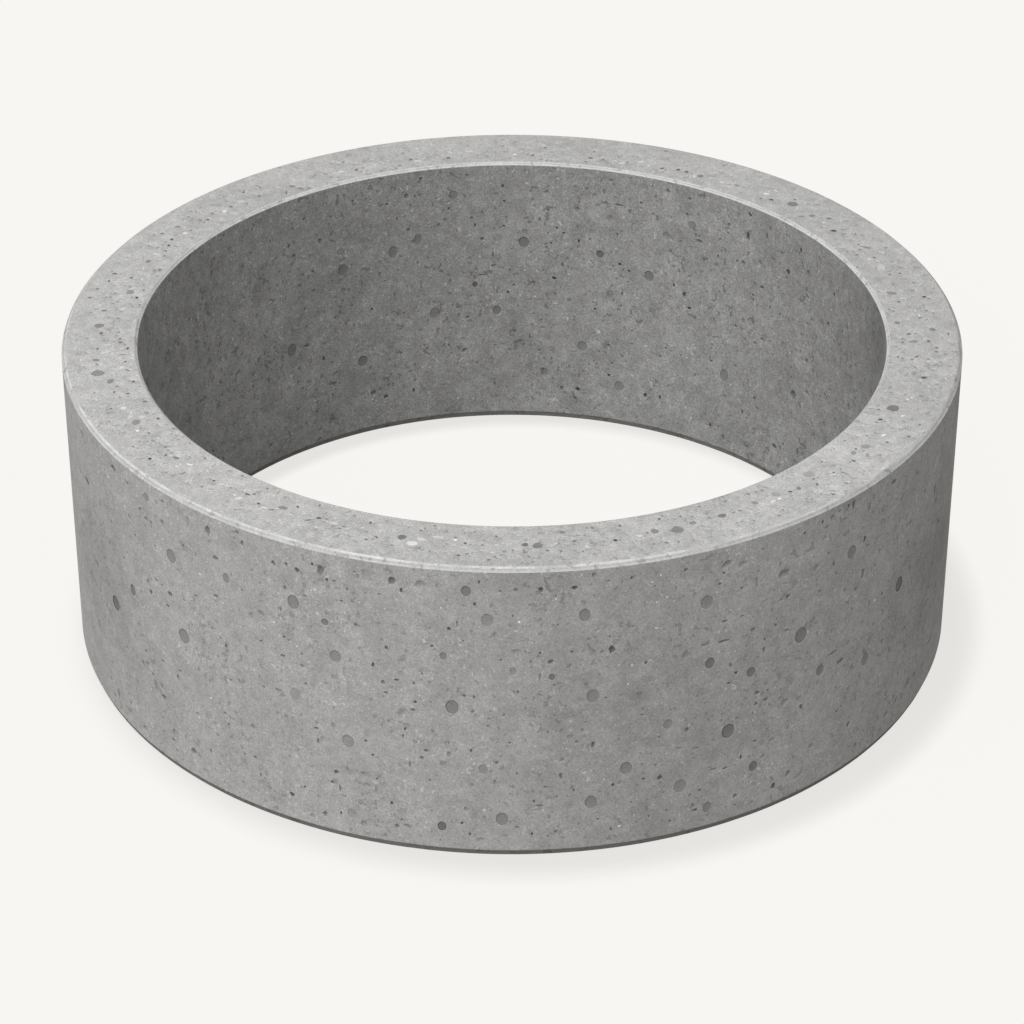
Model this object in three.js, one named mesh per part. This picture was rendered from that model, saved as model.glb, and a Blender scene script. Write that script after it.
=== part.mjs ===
// Precast concrete culvert ring: a short, straight-walled length of pipe that stands on its end.
// Both ends are plain and flat, because rings are stacked on each other in a bed of mortar.
// Millimetres, +Z up. The origin is on the ring's axis, at the foot.

import * as THREE from 'three';

// Driving dimensions
const boreDiameter = 700;     // clear opening through the ring
const wallThickness = 70;     // radial, the same all the way up
const ringHeight = 300;       // from the foot to the top end face

const rimOuterChamfer = 3.5;  // 45 degree arris round the outside of the top end
const rimInnerChamfer = 2.5;  // 45 degree arris round the bore at the top end
const footBevelHeight = 6;    // steep bevel that the mould's base pallet leaves round both foot edges
const footBevelInset = 2;     // how far that bevel draws the foot in from each wall face

const facetsRound = 144;      // a multiple of 4, so that facet corners lie on the X and Y axes

// Weathered mid-grey concrete with a dry, matt face
const concreteFinish = { color: 0xb4b3b1, roughness: 0.93, metalness: 0 };

// The wall's section at one bearing. X is the radius and Y the height.
// It runs up the outside and down the bore, so that its faces look out of the concrete.
function wallSection() {
  const boreRadius = boreDiameter / 2;
  const outerRadius = boreRadius + wallThickness;

  const section = new THREE.Path();
  section.moveTo(boreRadius + footBevelInset, 0);
  section.lineTo(outerRadius - footBevelInset, 0);
  section.lineTo(outerRadius, footBevelHeight);
  section.lineTo(outerRadius, ringHeight - rimOuterChamfer);
  section.lineTo(outerRadius - rimOuterChamfer, ringHeight);
  section.lineTo(boreRadius + rimInnerChamfer, ringHeight);
  section.lineTo(boreRadius, ringHeight - rimInnerChamfer);
  section.lineTo(boreRadius, footBevelHeight);
  section.closePath();
  return section.getPoints();
}

// One pour of concrete: the section turned once round the ring's axis.
function concreteRing() {
  const geometry = new THREE.LatheGeometry(wallSection(), facetsRound);
  geometry.rotateX(Math.PI / 2);  // the lathe turns about Y, and the ring stands along Z

  const ring = new THREE.Mesh(geometry, new THREE.MeshStandardMaterial(concreteFinish));
  ring.name = 'concrete_ring';
  return ring;
}

const culvertRing = new THREE.Group();
culvertRing.name = 'culvert_ring';
culvertRing.add(concreteRing());

export default culvertRing;
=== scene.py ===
import math
import random

import bmesh
import bpy
import numpy as np
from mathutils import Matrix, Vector, noise
from mathutils.geometry import delaunay_2d_cdt


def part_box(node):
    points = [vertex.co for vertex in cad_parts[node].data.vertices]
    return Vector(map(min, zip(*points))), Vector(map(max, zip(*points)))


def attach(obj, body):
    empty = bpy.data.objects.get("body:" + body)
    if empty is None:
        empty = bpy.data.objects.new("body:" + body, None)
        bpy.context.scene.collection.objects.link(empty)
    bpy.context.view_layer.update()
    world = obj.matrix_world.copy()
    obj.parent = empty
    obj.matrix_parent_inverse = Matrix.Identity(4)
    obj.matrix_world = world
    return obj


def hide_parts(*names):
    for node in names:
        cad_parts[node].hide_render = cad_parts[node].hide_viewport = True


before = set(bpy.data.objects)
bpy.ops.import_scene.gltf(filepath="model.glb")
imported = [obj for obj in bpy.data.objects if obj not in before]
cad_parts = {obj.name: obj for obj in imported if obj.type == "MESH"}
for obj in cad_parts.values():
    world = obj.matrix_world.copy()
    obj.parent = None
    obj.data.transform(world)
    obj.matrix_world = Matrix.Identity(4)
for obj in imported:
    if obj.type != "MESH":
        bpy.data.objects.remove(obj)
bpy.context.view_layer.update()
_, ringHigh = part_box("concrete_ring")
outerRadius = ringHigh.x
ringHeight = ringHigh.z
boreRadius = min(math.hypot(v.co.x, v.co.y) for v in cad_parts["concrete_ring"].data.vertices)
ringSize = f"{2 * outerRadius:.3f} m across, {ringHeight:.3f} m high, bore {2 * boreRadius:.3f} m"
print("frame loaded: ring", ringSize)


# The camera, and where its lines of sight meet the ring.

viewFrom = {
    "imageSize": 1024,    # pixels, square
    "distance": 3.306,    # metres from the ring's middle
    "elevation": 30.96,   # degrees above the floor
    "aimHeight": 0.096,   # where the middle of the view meets the ring's axis
    "lens": 121.0,        # mm
    "sensor": 36.0,       # mm
}


def makeCamera(settings):
    data = bpy.data.cameras.new("viewCamera")
    data.sensor_width = settings["sensor"]
    data.lens = settings["lens"]
    data.clip_end = 200
    camera = bpy.data.objects.new("viewCamera", data)
    bpy.context.scene.collection.objects.link(camera)
    rise = math.radians(settings["elevation"])
    middle = Vector((0, 0, ringHeight / 2))
    camera.location = middle + settings["distance"] * Vector((0, -math.cos(rise), math.sin(rise)))
    aim = Vector((0, 0, settings["aimHeight"])) - camera.location
    camera.rotation_euler = aim.to_track_quat("-Z", "Y").to_euler()
    bpy.context.scene.camera = camera
    return camera


camera = makeCamera(viewFrom)


def rayThrough(x, y):
    # the line of sight through pixel x, y of the image
    size = viewFrom["imageSize"]
    reach = size * viewFrom["lens"] / viewFrom["sensor"]
    aim = Vector((x - size / 2, size / 2 - y, -reach))
    return camera.location, (camera.rotation_euler.to_matrix() @ aim).normalized()


def hitWall(x, y, radius, far):
    # where it meets the upright cylinder of that radius, on its near or its far side
    start, aim = rayThrough(x, y)
    a = aim.x ** 2 + aim.y ** 2
    b = start.x * aim.x + start.y * aim.y
    c = start.x ** 2 + start.y ** 2 - radius ** 2
    root = math.sqrt(max(b * b - a * c, 0))
    return start + aim * ((-b + root if far else -b - root) / a)


def hitTop(x, y):
    start, aim = rayThrough(x, y)
    return start + aim * ((ringHeight - start.z) / aim.z)


# The cast surface is made unrolled, one sheet for each face. On a sheet, u is the bearing round the ring
# and v is the height on a wall, or the radius on an end.

castRing = {
    "columns": 360,              # of the mesh, all round
    "gridStep": 0.011,           # of the mesh between marks
    "gridRow": 0.87,             # of a row of that mesh, as a share of the spacing
    "gridShift": 0.18,           # how far its points are moved at random, as a share of the spacing
    "borderStep": 0.0008,        # from a sheet's edge to the row that keeps its shading flat
    "nearest": 0.03,             # marks whose middles are farther apart than this can't touch
    "fitShares": (1.0, 0.85, 0.7, 0.55, 0.42),   # of its size, at which a listed mark is tried
    "rimOuterChamfer": 0.0035,
    "rimInnerChamfer": 0.0025,
    "footBevelHeight": 0.006,
    "footBevelInset": 0.002,
    "arrisRadius": 0.0010,       # of each moulded corner
    "arrisSteps": 3,
    "arrisWear": 0.0007,         # how far a corner is worn back, before the shares in wearShares
    "weldDistance": 0.00002,     # vertices closer than this are one
    "seed": 11,
}

# What a mark looks like from its rim to its middle: size, share of its depth, share of its tone.
# Tone above 0 is darker than the concrete round it, and below 0 is paler.
# In dishes, pits and chips the darker tone inside stands for the shade in the hollow: painted shade. Stones
# and grains keep their own tone.
dishSteps = [
    (1.25, 0.0, 0.0), (1.08, 0.0, -0.15), (0.98, 0.3, 1.45), (0.86, 0.85, 1.05), (0.65, 1.0, 0.93),
]
pitSteps = [(1.25, 0.0, 0.0), (1.05, 0.05, 0.15), (0.82, 0.7, 1.0)]
chipSteps = [(1.1, 0.0, 0.0), (0.8, 0.7, 1.0)]
stoneSteps = [(1.12, 0.0, 0.0), (0.98, 1.0, 1.1), (0.72, 1.0, 0.75)]
grainSteps = [(1.12, 0.0, 0.0), (0.93, 1.0, 1.0)]


def polar(bearing, radius, height):
    # bearing 0 faces the camera, and bearings grow towards +X
    return Vector((radius * math.sin(bearing), -radius * math.cos(bearing), height))


def bearingOf(point):
    return math.atan2(point.x, -point.y)


def wallSheet(radius, inward, low, high, seam, finish):
    return {
        "low": low, "high": high, "seam": seam, "finish": finish, "marks": [], "left": 0,
        "midRadius": radius, "radiusAt": lambda v: radius,
        "place": lambda u, v, depth: polar(u, radius + inward * depth, v),
    }


def endSheet(height, inward, low, high, finish):
    return {
        "low": low, "high": high, "seam": -math.pi, "finish": finish, "marks": [], "left": 0,
        "midRadius": (low + high) / 2, "radiusAt": lambda v: v,
        "place": lambda u, v, depth: polar(u, v, height + inward * depth),
    }


def reachOf(mark, x, y):
    # how far a mark goes out from its middle in direction x, y of its sheet
    cosTurn, sinTurn = math.cos(mark["turn"]), math.sin(mark["turn"])
    across = mark["across"] * (x * cosTurn + y * sinTurn)
    along = mark["along"] * (y * cosTurn - x * sinTurn)
    return math.hypot(across, along) * mark["steps"][0][0] * (1 + mark["ragged"])


def fits(sheet, mark, clearance=0.0001):
    # a mark stays on its sheet and clear of the others
    edge = reachOf(mark, 0, 1) + clearance + castRing["borderStep"]
    if not sheet["low"] + edge < mark["v"] < sheet["high"] - edge:
        return False
    radius = sheet["radiusAt"](mark["v"])
    side = reachOf(mark, 1, 0) + clearance
    fromSeam = (mark["u"] - sheet["seam"]) % (2 * math.pi) * radius
    if not side < fromSeam < 2 * math.pi * radius - side:
        return False
    for other in sheet["marks"]:
        x = math.remainder(mark["u"] - other["u"], 2 * math.pi) * radius
        y = mark["v"] - other["v"]
        away = math.hypot(x, y)
        if away < castRing["nearest"]:
            x, y = x / max(away, 1e-9), y / max(away, 1e-9)
            if away < reachOf(mark, x, y) + reachOf(other, x, y) + clearance:
                return False
    return True


def addMark(sheet, mark, shares=(1.0,)):
    # tries the mark at each share of its size in turn, and leaves it out if none fits
    for share in shares:
        resized = {**mark, **{key: mark[key] * share for key in ("across", "along", "depth")}}
        if fits(sheet, resized):
            sheet["marks"].append(resized)
            return True
    sheet["left"] += 1
    return False


def markOutlines(mark, draw):
    # for each step, its corners as offsets in metres, with their depth and tone
    spread = [1 + mark["ragged"] * draw.uniform(-1, 1) for k in range(mark["corners"])]
    cosTurn, sinTurn = math.cos(mark["turn"]), math.sin(mark["turn"])
    for size, depthShare, toneShare in mark["steps"]:
        outline = []
        for k, stretch in enumerate(spread):
            angle = 2 * math.pi * k / mark["corners"]
            x = size * stretch * mark["across"] * math.cos(angle)
            y = size * stretch * mark["along"] * math.sin(angle)
            outline.append((x * cosTurn - y * sinTurn, x * sinTurn + y * cosTurn))
        yield outline, depthShare * mark["depth"], toneShare * mark["tone"]


def onSheet(sheet, u, v):
    # a place on the flat sheet, in millimetres
    return (u - sheet["seam"]) % (2 * math.pi) * sheet["midRadius"] * 1000, v * 1000


def loosePoints(sheet, draw):
    # points that fill the sheet between its marks, in millimetres
    step = castRing["gridStep"] * 1000
    width = 2 * math.pi * sheet["midRadius"] * 1000
    low, high = sheet["low"] * 1000, sheet["high"] * 1000
    rows = max(2, round((high - low) / (step * castRing["gridRow"])))
    shift = castRing["gridShift"]
    columns = round(width / step)
    points = []
    for row in range(1, rows):
        for column in range(columns):
            x = (column + 0.5 + 0.5 * (row % 2) + draw.uniform(-shift, shift)) * width / columns
            y = low + (high - low) * (row + draw.uniform(-shift, shift)) / rows
            points.append((x, y))
    points = np.array(points)
    points = points[(points[:, 0] > 0.3 * step) & (points[:, 0] < width - 0.3 * step)]
    for mark in sheet["marks"]:
        x, y = onSheet(sheet, mark["u"], mark["v"])
        stretch = sheet["midRadius"] / sheet["radiusAt"](mark["v"])
        away = np.hypot((points[:, 0] - x) / stretch, points[:, 1] - y)
        reach = max(reachOf(mark, 1, 0), reachOf(mark, 0, 1), mark["across"] * 1.7, mark["along"] * 1.7)
        points = points[away > reach * 1000 + 0.25 * step]
    return [tuple(point) for point in points]


def triangulate(sheet, draw):
    # cuts the marks into the sheet and places it: its vertices, the tone of each, and its triangles
    columns = castRing["columns"]
    width = 2 * math.pi * sheet["midRadius"] * 1000
    border = castRing["borderStep"]
    points, facts, edges = [], [], []

    def addPoint(x, y, depth=0.0, tone=0.0):
        points.append(Vector((x, y)))
        facts.append((depth, tone))
        return len(points) - 1

    for v in (sheet["low"], sheet["low"] + border, sheet["high"] - border, sheet["high"]):
        row = [addPoint(width * k / columns, v * 1000) for k in range(columns + 1)]
        edges += zip(row, row[1:])
    for mark in sheet["marks"]:
        middleX, middleY = onSheet(sheet, mark["u"], mark["v"])
        stretch = sheet["midRadius"] / sheet["radiusAt"](mark["v"])
        for outline, depth, tone in markOutlines(mark, draw):
            loop = []
            for x, y in outline:
                loop.append(addPoint(middleX + x * 1000 * stretch, middleY + y * 1000, depth, tone))
            edges += zip(loop, loop[1:] + loop[:1])
        addPoint(middleX, middleY, mark["depth"], mark["tone"])
    for x, y in loosePoints(sheet, draw):
        addPoint(x, y)

    flat, _, triangles, source, _, _ = delaunay_2d_cdt(points, edges, [], 0, 1e-5)
    vertices, tones = [], []
    for point, origin in zip(flat, source):
        depth, tone = facts[origin[0]] if origin else (0.0, 0.0)
        u = sheet["seam"] + point.x / (sheet["midRadius"] * 1000)
        vertices.append(sheet["place"](u, point.y / 1000, depth))
        tones.append(tone)
    return vertices, tones, triangles


def roundedCorner(before, corner, after):
    # an arc that rounds one corner of the section
    radius, steps = castRing["arrisRadius"], castRing["arrisSteps"]
    corner, before, after = Vector(corner), Vector(before), Vector(after)
    back, on = (before - corner).normalized(), (after - corner).normalized()
    half = back.angle(on) / 2
    centre = corner + (back + on).normalized() * radius / math.sin(half)
    start = (corner + back * radius / math.tan(half) - centre).normalized()
    end = (corner + on * radius / math.tan(half) - centre).normalized()
    return [centre + start.slerp(end, k / steps) * radius for k in range(steps + 1)]


def ringCorners(settings):
    # the section, from the foot up the outer wall and down the bore
    rim, innerRim = settings["rimOuterChamfer"], settings["rimInnerChamfer"]
    bevelHeight, inset = settings["footBevelHeight"], settings["footBevelInset"]
    return [
        (outerRadius - inset, 0), (outerRadius, bevelHeight),
        (outerRadius, ringHeight - rim), (outerRadius - rim, ringHeight),
        (boreRadius + innerRim, ringHeight), (boreRadius, ringHeight - innerRim),
        (boreRadius, bevelHeight), (boreRadius + inset, 0),
    ]


def edgeBand(corners, first):
    # the rounded profile of a chamfer that runs from one corner of the section to the next
    before, start, end, after = (corners[(first + k) % len(corners)] for k in (-1, 0, 1, 2))
    return roundedCorner(before, start, end) + roundedCorner(start, end, after)


# The wear of the corners: even wear, then broad and fine changes of it, and chips where a pattern rises
# above a level. Scales are per metre.
wearShares = {"even": 0.35, "broad": 0.3, "fine": 0.2, "chip": 3.0}
wearScales = {"broad": 14, "fine": 90, "chip": 45}
chipLevel = 0.35
chipPlace = Vector((7, 3, 1))


def wearAt(bearing, salt):
    # how far a corner is worn back there, in metres
    spot = polar(bearing, outerRadius, salt)
    broad = noise.noise(spot * wearScales["broad"])
    fine = noise.noise(spot * wearScales["fine"])
    rise = noise.noise(spot * wearScales["chip"] + chipPlace) - chipLevel
    chips = max(0.0, rise) * wearShares["chip"]
    share = wearShares["even"] + wearShares["broad"] * broad + wearShares["fine"] * fine + chips
    return castRing["arrisWear"] * share


def bandMesh(profile, salt):
    # the chamfer turned round the ring's axis, with its worn places
    columns = castRing["columns"]
    middle = (profile[0] + profile[-1]) / 2
    inward = Vector(((outerRadius + boreRadius) / 2, ringHeight / 2)) - middle
    inward = Vector((math.copysign(1, inward.x), math.copysign(1, inward.y))).normalized()
    vertices, quads = [], []
    for column in range(columns):
        bearing = 2 * math.pi * column / columns
        wear = max(0.0, wearAt(bearing, salt))
        for k, point in enumerate(profile):
            worn = point + inward * wear * math.sin(math.pi * k / (len(profile) - 1))
            vertices.append(polar(bearing, worn.x, worn.y))
    rows = len(profile)
    for column in range(columns):
        here, on = column * rows, (column + 1) % columns * rows
        for k in range(rows - 1):
            quads.append((here + k, on + k, on + k + 1, here + k + 1))
    return vertices, quads


corners = ringCorners(castRing)
footOuter, rimOuter, rimInner, footInner = (edgeBand(corners, first) for first in (0, 2, 4, 6))
outerWall = wallSheet(outerRadius, -1, footOuter[-1].y, rimOuter[0].y, -math.pi, "mouldFace")
topEnd = endSheet(ringHeight, -1, rimInner[0].x, rimOuter[-1].x, "topEnd")
bore = wallSheet(boreRadius, 1, footInner[0].y, rimInner[-1].y, 0.0, "boreFace")
footEnd = endSheet(0.0, 1, footInner[-1].x, footOuter[0].x, "footEnd")


# Air voids in the moulded faces, cut through by the mould: flat round dishes.
# Pixel x and y of the middle, width and height in pixels, and tone.
outerVoids = [
    (171, 556, 8.5, 12, 1.0), (184, 636, 9.5, 13, 1.0), (226, 578, 6, 9, 0.95), (293, 602, 11, 13, 1.0),
    (335, 656, 11, 11, 0.9), (295, 694, 10, 11, 0.5), (348, 741, 11.5, 11.5, 0.8), (325, 622, 7, 6, 1.3),
    (133, 590, 4.5, 10, 1.3), (116, 603, 6, 12, 1.6), (365, 573, 9, 8, 0.3), (146, 497, 5, 7, 0.8),
    (265, 786, 12, 11, 0.4), (466, 591, 10, 10, 1.25), (487, 620, 12, 12, 0.7), (585, 615, 11, 12, 1.0),
    (443, 656, 7, 7, 1.1), (513, 671, 7, 7, 0.7), (552, 677, 6, 6, 1.5), (593, 696, 12.5, 12.5, 0.9),
    (452, 707, 13, 13, 1.1), (668, 724, 9, 9, 0.9), (483, 769, 9, 9, 0.8), (626, 768, 11.6, 11.6, 1.0),
    (680, 786, 12, 12, 0.8), (591, 802, 12, 12, 1.0), (502, 819, 12, 12, 1.0), (442, 826, 8.5, 8.5, 1.7),
    (707, 602, 12, 13, 0.9), (852, 552, 8, 12, 1.0), (899, 584, 6, 13, 1.6), (801, 635, 11, 14, 1.2),
    (710, 663, 9, 10, 1.4), (751, 672, 8, 9, 1.35), (820, 670, 7, 10, 1.2), (865, 659, 6, 11, 1.0),
    (728, 731, 12, 13, 1.4), (753, 766, 8, 9, 1.45), (707, 807, 8, 10, 1.05), (352, 813, 9, 8, 0.6),
]
boreVoids = [
    (524, 242, 10, 10, 1.15), (600, 254, 7, 7, 1.6), (649, 276, 9.5, 9.5, 1.1), (435, 313, 10, 10, 0.9),
    (497, 310, 8.5, 8.5, 1.15), (582, 346, 9.5, 9.5, 0.9), (619, 386, 9, 9, 0.9), (724, 375, 8, 12, 0.9),
    (453, 195, 8.5, 8.5, 0.9), (418, 239, 8, 10, 0.9), (692, 225, 7.5, 7.5, 0.8), (475, 284, 5, 5, 1.9),
    (610, 294, 7, 7, 0.9), (393, 252, 8.5, 11, 1.0), (343, 270, 9, 11, 1.0), (292, 350, 8.5, 12, 1.0),
    (363, 361, 9, 10, 1.2), (796, 398, 7, 9, 0.8),
]
# Small torn pits in the outer wall, given in the same way.
outerPits = [
    (82, 435, 2, 6, 1.2), (113, 468, 5, 5, 1.5), (80, 471, 2, 5, 1.2), (87, 481, 3, 4, 2.0),
    (127, 483, 2.5, 3, 1.6), (162, 492, 4, 6, 0.6), (162, 501, 3, 2.5, 1.6), (194, 505, 4, 6, 0.8),
    (140, 509, 2.5, 3, 1.4), (146, 519, 3, 3, 1.2), (162, 522, 3, 5, 1.2), (83, 523, 2, 6, 1.1),
    (187, 522, 3, 12, 0.5), (207, 531, 5, 9, 1.2), (237, 532, 3, 5, 1.7), (242, 543, 3, 5, 1.4),
    (183, 546, 3, 2.5, 1.2), (215, 558, 5, 3, 1.3), (97, 564, 3.5, 5, 1.7), (156, 580, 3, 3, 1.2),
    (151, 592, 3, 4, 1.7), (170, 594, 4, 4, 1.7), (216, 596, 4, 3, 1.5), (242, 590, 3, 2, 1.2),
    (231, 575, 3, 4, 0.7), (273, 563, 4, 4, 1.5), (286, 564, 3, 4, 1.4), (297, 570, 4, 4, 1.8),
    (312, 564, 3.5, 4, 2.0), (320, 571, 7, 8, 1.3), (327, 580, 3, 3, 2.0), (334, 581, 5, 2, 1.5),
    (354, 572, 2.5, 2, 1.2), (391, 580, 7, 8, 1.4), (401, 590, 3, 4, 2.0), (420, 585, 11, 9, 0.5),
    (347, 589, 2, 4, 1.3), (285, 588, 3, 4, 1.3), (305, 596, 4, 2, 1.2), (341, 601, 3, 2.5, 1.3),
    (379, 594, 4, 2, 1.1), (281, 610, 2, 4, 1.1), (261, 614, 6, 6, 0.6), (251, 615, 4, 6, 0.6),
    (356, 625, 3, 2.5, 1.3), (284, 637, 2.5, 2.5, 1.9), (261, 641, 2.5, 2, 1.9), (432, 646, 3, 2.5, 2.0),
    (283, 656, 5, 4, 1.2), (302, 654, 3, 2, 1.1), (302, 666, 3, 3, 1.2), (373, 665, 3, 5, 1.9),
    (386, 648, 3.5, 3.5, 1.6), (422, 674, 2.5, 2.5, 1.3), (397, 680, 5, 2, 1.9), (383, 682, 4, 4, 1.2),
    (414, 683, 3, 3, 1.3), (306, 684, 3, 2.5, 1.2), (264, 687, 3, 2, 1.3), (278, 690, 6, 2.5, 0.9),
    (386, 693, 4, 2.5, 1.2), (415, 702, 3, 2.5, 2.0), (413, 710, 4, 3, 1.3), (479, 582, 2, 4, 1.8),
    (500, 591, 2, 2, 1.8), (516, 590, 5, 4, 1.0), (541, 590, 5, 4, 1.9), (575, 588, 6, 4, 1.9),
    (556, 596, 2.5, 1.5, 1.6), (475, 604, 3, 4, 1.9), (446, 610, 2, 1.5, 1.2), (513, 616, 2.5, 3, 1.3),
    (457, 624, 2, 6, 1.3), (449, 629, 5, 3, 1.9), (463, 641, 2, 2, 1.3), (495, 635, 4, 6, 0.7),
    (517, 652, 9, 8, 0.35), (558, 625, 2.5, 3, 1.1), (558, 573, 5, 7, 1.0), (594, 575, 4, 5, 1.0),
    (608, 581, 4, 2, 1.0), (610, 636, 2, 2, 1.7), (612, 650, 6, 7, 1.8), (602, 652, 5, 3, 0.9),
    (540, 653, 2.5, 2.5, 1.8), (551, 662, 5, 4, 1.5), (572, 652, 3, 2.5, 1.4), (531, 662, 2, 4, 1.1),
    (501, 660, 2, 2, 1.8), (540, 677, 3, 7, 0.8), (518, 692, 2, 3, 1.7), (464, 696, 4, 3, 1.2),
    (474, 697, 2.5, 3, 1.3), (504, 715, 2.5, 2, 1.5), (555, 685, 4, 2, 1.0), (606, 698, 3, 2, 1.1),
    (632, 578, 2.5, 2.5, 2.0), (643, 562, 4, 3, 0.9), (655, 586, 3, 2, 1.1), (686, 570, 4, 3, 1.4),
    (727, 564, 9, 7, 0.8), (724, 573, 2, 2, 1.7), (742, 564, 8, 5, 0.6), (785, 574, 10, 7, 0.8),
    (757, 583, 2, 6, 0.8), (742, 588, 2.5, 2, 1.7), (720, 584, 3, 2, 1.4), (788, 596, 3.5, 4, 1.7),
    (782, 599, 2.5, 2, 1.4), (742, 616, 4, 1.5, 1.4), (725, 621, 4, 2, 1.6), (776, 625, 2.5, 3, 1.4),
    (753, 630, 5, 3, 1.2), (747, 635, 5, 2, 1.7), (724, 641, 10, 2.5, 1.5), (787, 630, 5, 1.5, 1.4),
    (765, 639, 2.5, 2, 1.9), (764, 650, 2.5, 6, 1.3), (705, 645, 7, 2.5, 1.0), (758, 657, 2, 1.5, 1.4),
    (686, 655, 6, 8, 0.7), (686, 663, 2.5, 2, 1.6), (646, 663, 3, 3, 1.9), (731, 665, 4, 3, 1.1),
    (736, 673, 3, 2.5, 2.1), (729, 683, 4, 2, 1.8), (757, 693, 5, 4, 1.4), (768, 690, 2, 3, 1.3),
    (766, 699, 4, 3, 1.4), (756, 704, 4, 3, 1.4), (706, 703, 4, 2, 0.8), (785, 702, 8, 6, 0.5),
    (849, 506, 2, 4, 1.7), (854, 505, 3, 8, 1.5), (840, 511, 2.5, 2, 1.8), (833, 517, 5, 5, 0.9),
    (823, 522, 2, 4, 1.9), (827, 527, 4, 2, 1.0), (870, 507, 2.5, 8, 0.9), (805, 533, 2.5, 2, 1.9),
    (865, 539, 3, 6, 1.8), (933, 522, 2, 2, 1.7), (938, 521, 1.5, 3, 1.8), (880, 551, 3, 4, 0.8),
    (781, 563, 2, 1.5, 1.7), (834, 564, 2.5, 6, 1.2), (863, 573, 3, 9, 1.1), (921, 554, 1.5, 2, 1.4),
    (820, 591, 2, 3, 1.4), (845, 590, 3, 2, 1.4), (856, 589, 3, 3, 1.2), (920, 590, 1.5, 1.5, 1.6),
    (927, 602, 3, 5, 0.7), (882, 642, 2, 6, 1.3), (929, 641, 3, 2, 1.2), (168, 606, 3, 3, 1.8),
    (99, 624, 3, 6, 1.2), (101, 634, 2, 5, 1.2), (212, 628, 3, 2, 1.3), (221, 638, 3, 2, 1.0),
    (226, 646, 2, 3, 1.9), (146, 651, 2, 2, 1.7), (143, 662, 2, 4, 1.7), (163, 661, 3, 1.5, 1.6),
    (112, 662, 2, 1.5, 1.4), (153, 674, 2, 3, 2.0), (178, 677, 2, 4, 1.5), (231, 680, 2.5, 1.5, 1.7),
    (111, 678, 2.5, 2, 1.3), (156, 686, 4, 9, 0.8), (162, 686, 2, 4, 1.4), (115, 695, 2, 3, 1.4),
    (119, 693, 1.5, 6, 1.4), (164, 697, 4, 4, 1.6), (130, 711, 3, 3, 1.0), (197, 713, 2, 2, 1.9),
    (225, 713, 2.5, 1.5, 1.7), (229, 724, 2, 2, 1.7), (145, 728, 4, 5, 0.9), (174, 732, 3, 6, 0.9),
    (174, 740, 3, 2, 1.8), (189, 745, 3, 3, 1.9), (194, 751, 5, 4, 1.5), (253, 727, 4, 4, 0.8),
    (211, 751, 2, 3, 1.5), (245, 754, 2.5, 2, 1.3), (255, 757, 3, 2, 1.7), (317, 723, 2, 2, 1.2),
    (316, 728, 4, 2, 1.6), (333, 726, 4, 6, 0.6), (318, 741, 2.5, 4, 1.4), (366, 741, 2.5, 2.5, 2.0),
    (405, 729, 2, 3, 1.9), (403, 736, 2, 5, 1.6), (426, 751, 5, 3, 1.3), (422, 758, 4, 3, 1.4),
    (373, 755, 2.5, 2.5, 1.9), (410, 764, 2, 5, 1.2), (336, 772, 5, 3.5, 1.8), (332, 782, 4, 2.5, 1.8),
    (340, 788, 2, 6, 1.5), (344, 796, 6, 4, 0.6), (305, 787, 2.5, 2, 1.9), (292, 794, 4, 4, 2.0),
    (284, 796, 5, 3, 0.6), (261, 775, 2, 4, 1.8), (377, 779, 2, 2, 1.9), (430, 780, 2.5, 2, 1.8),
    (392, 803, 3, 3, 2.0), (341, 813, 2, 3, 1.9), (325, 814, 5, 5, 1.2), (364, 775, 8, 7, 0.4),
    (365, 824, 7, 6, 0.6), (402, 820, 4, 4, 1.2), (397, 826, 4, 4, 1.2), (408, 826, 8, 3.5, 0.8),
    (312, 816, 5, 4, 0.6), (473, 712, 3, 3, 1.1), (489, 719, 4, 2, 1.0), (488, 726, 2.5, 2, 1.3),
    (548, 732, 2, 2, 1.4), (449, 743, 2, 2, 1.1), (449, 755, 4, 6, 0.8), (471, 751, 2.5, 4, 1.7),
    (510, 743, 2, 2, 1.5), (583, 731, 4, 4, 0.7), (577, 742, 3, 2.5, 1.1), (593, 745, 4, 5, 1.5),
    (497, 763, 3, 3.5, 1.4), (517, 774, 2.5, 2.5, 1.2), (495, 782, 3, 4, 1.0), (561, 776, 3, 6, 1.5),
    (562, 760, 6, 4, 0.6), (546, 787, 4, 2, 1.1), (574, 790, 2, 3, 1.6), (613, 785, 3, 3, 1.9),
    (534, 801, 2.5, 2.5, 2.0), (540, 806, 8, 2.5, 1.0), (466, 809, 5, 4, 0.8), (557, 797, 2, 3, 1.0),
    (462, 823, 3, 2.5, 2.0), (517, 827, 4, 2, 1.4), (470, 834, 2.5, 2.5, 1.9), (481, 840, 8, 4, 0.5),
    (532, 834, 3, 2.5, 1.9), (548, 836, 2, 2, 1.7), (556, 832, 4, 3, 1.1), (598, 819, 2, 2.5, 1.8),
    (611, 829, 2, 3, 1.8), (586, 846, 3, 2, 1.7), (642, 715, 3, 1.5, 1.5), (687, 730, 4, 4, 1.3),
    (659, 737, 2, 2, 1.6), (713, 740, 2.5, 1.5, 1.2), (679, 748, 4, 1.5, 1.1), (696, 748, 8, 1.5, 1.1),
    (737, 718, 4, 1.5, 1.3), (755, 741, 4, 2, 1.4), (762, 744, 2, 1.5, 1.3), (772, 739, 4, 1.5, 1.1),
    (741, 757, 2.5, 4, 2.0), (763, 756, 4, 3, 1.1), (656, 765, 3, 3, 0.9), (644, 779, 3, 2, 1.8),
    (660, 778, 4, 5, 1.8), (725, 768, 4, 2, 1.6), (707, 772, 2, 4, 1.3), (714, 769, 7, 1.5, 1.1),
    (788, 773, 5, 6, 0.9), (773, 786, 4, 5, 1.8), (700, 790, 3, 2, 1.8), (690, 795, 3, 3, 1.0),
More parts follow.
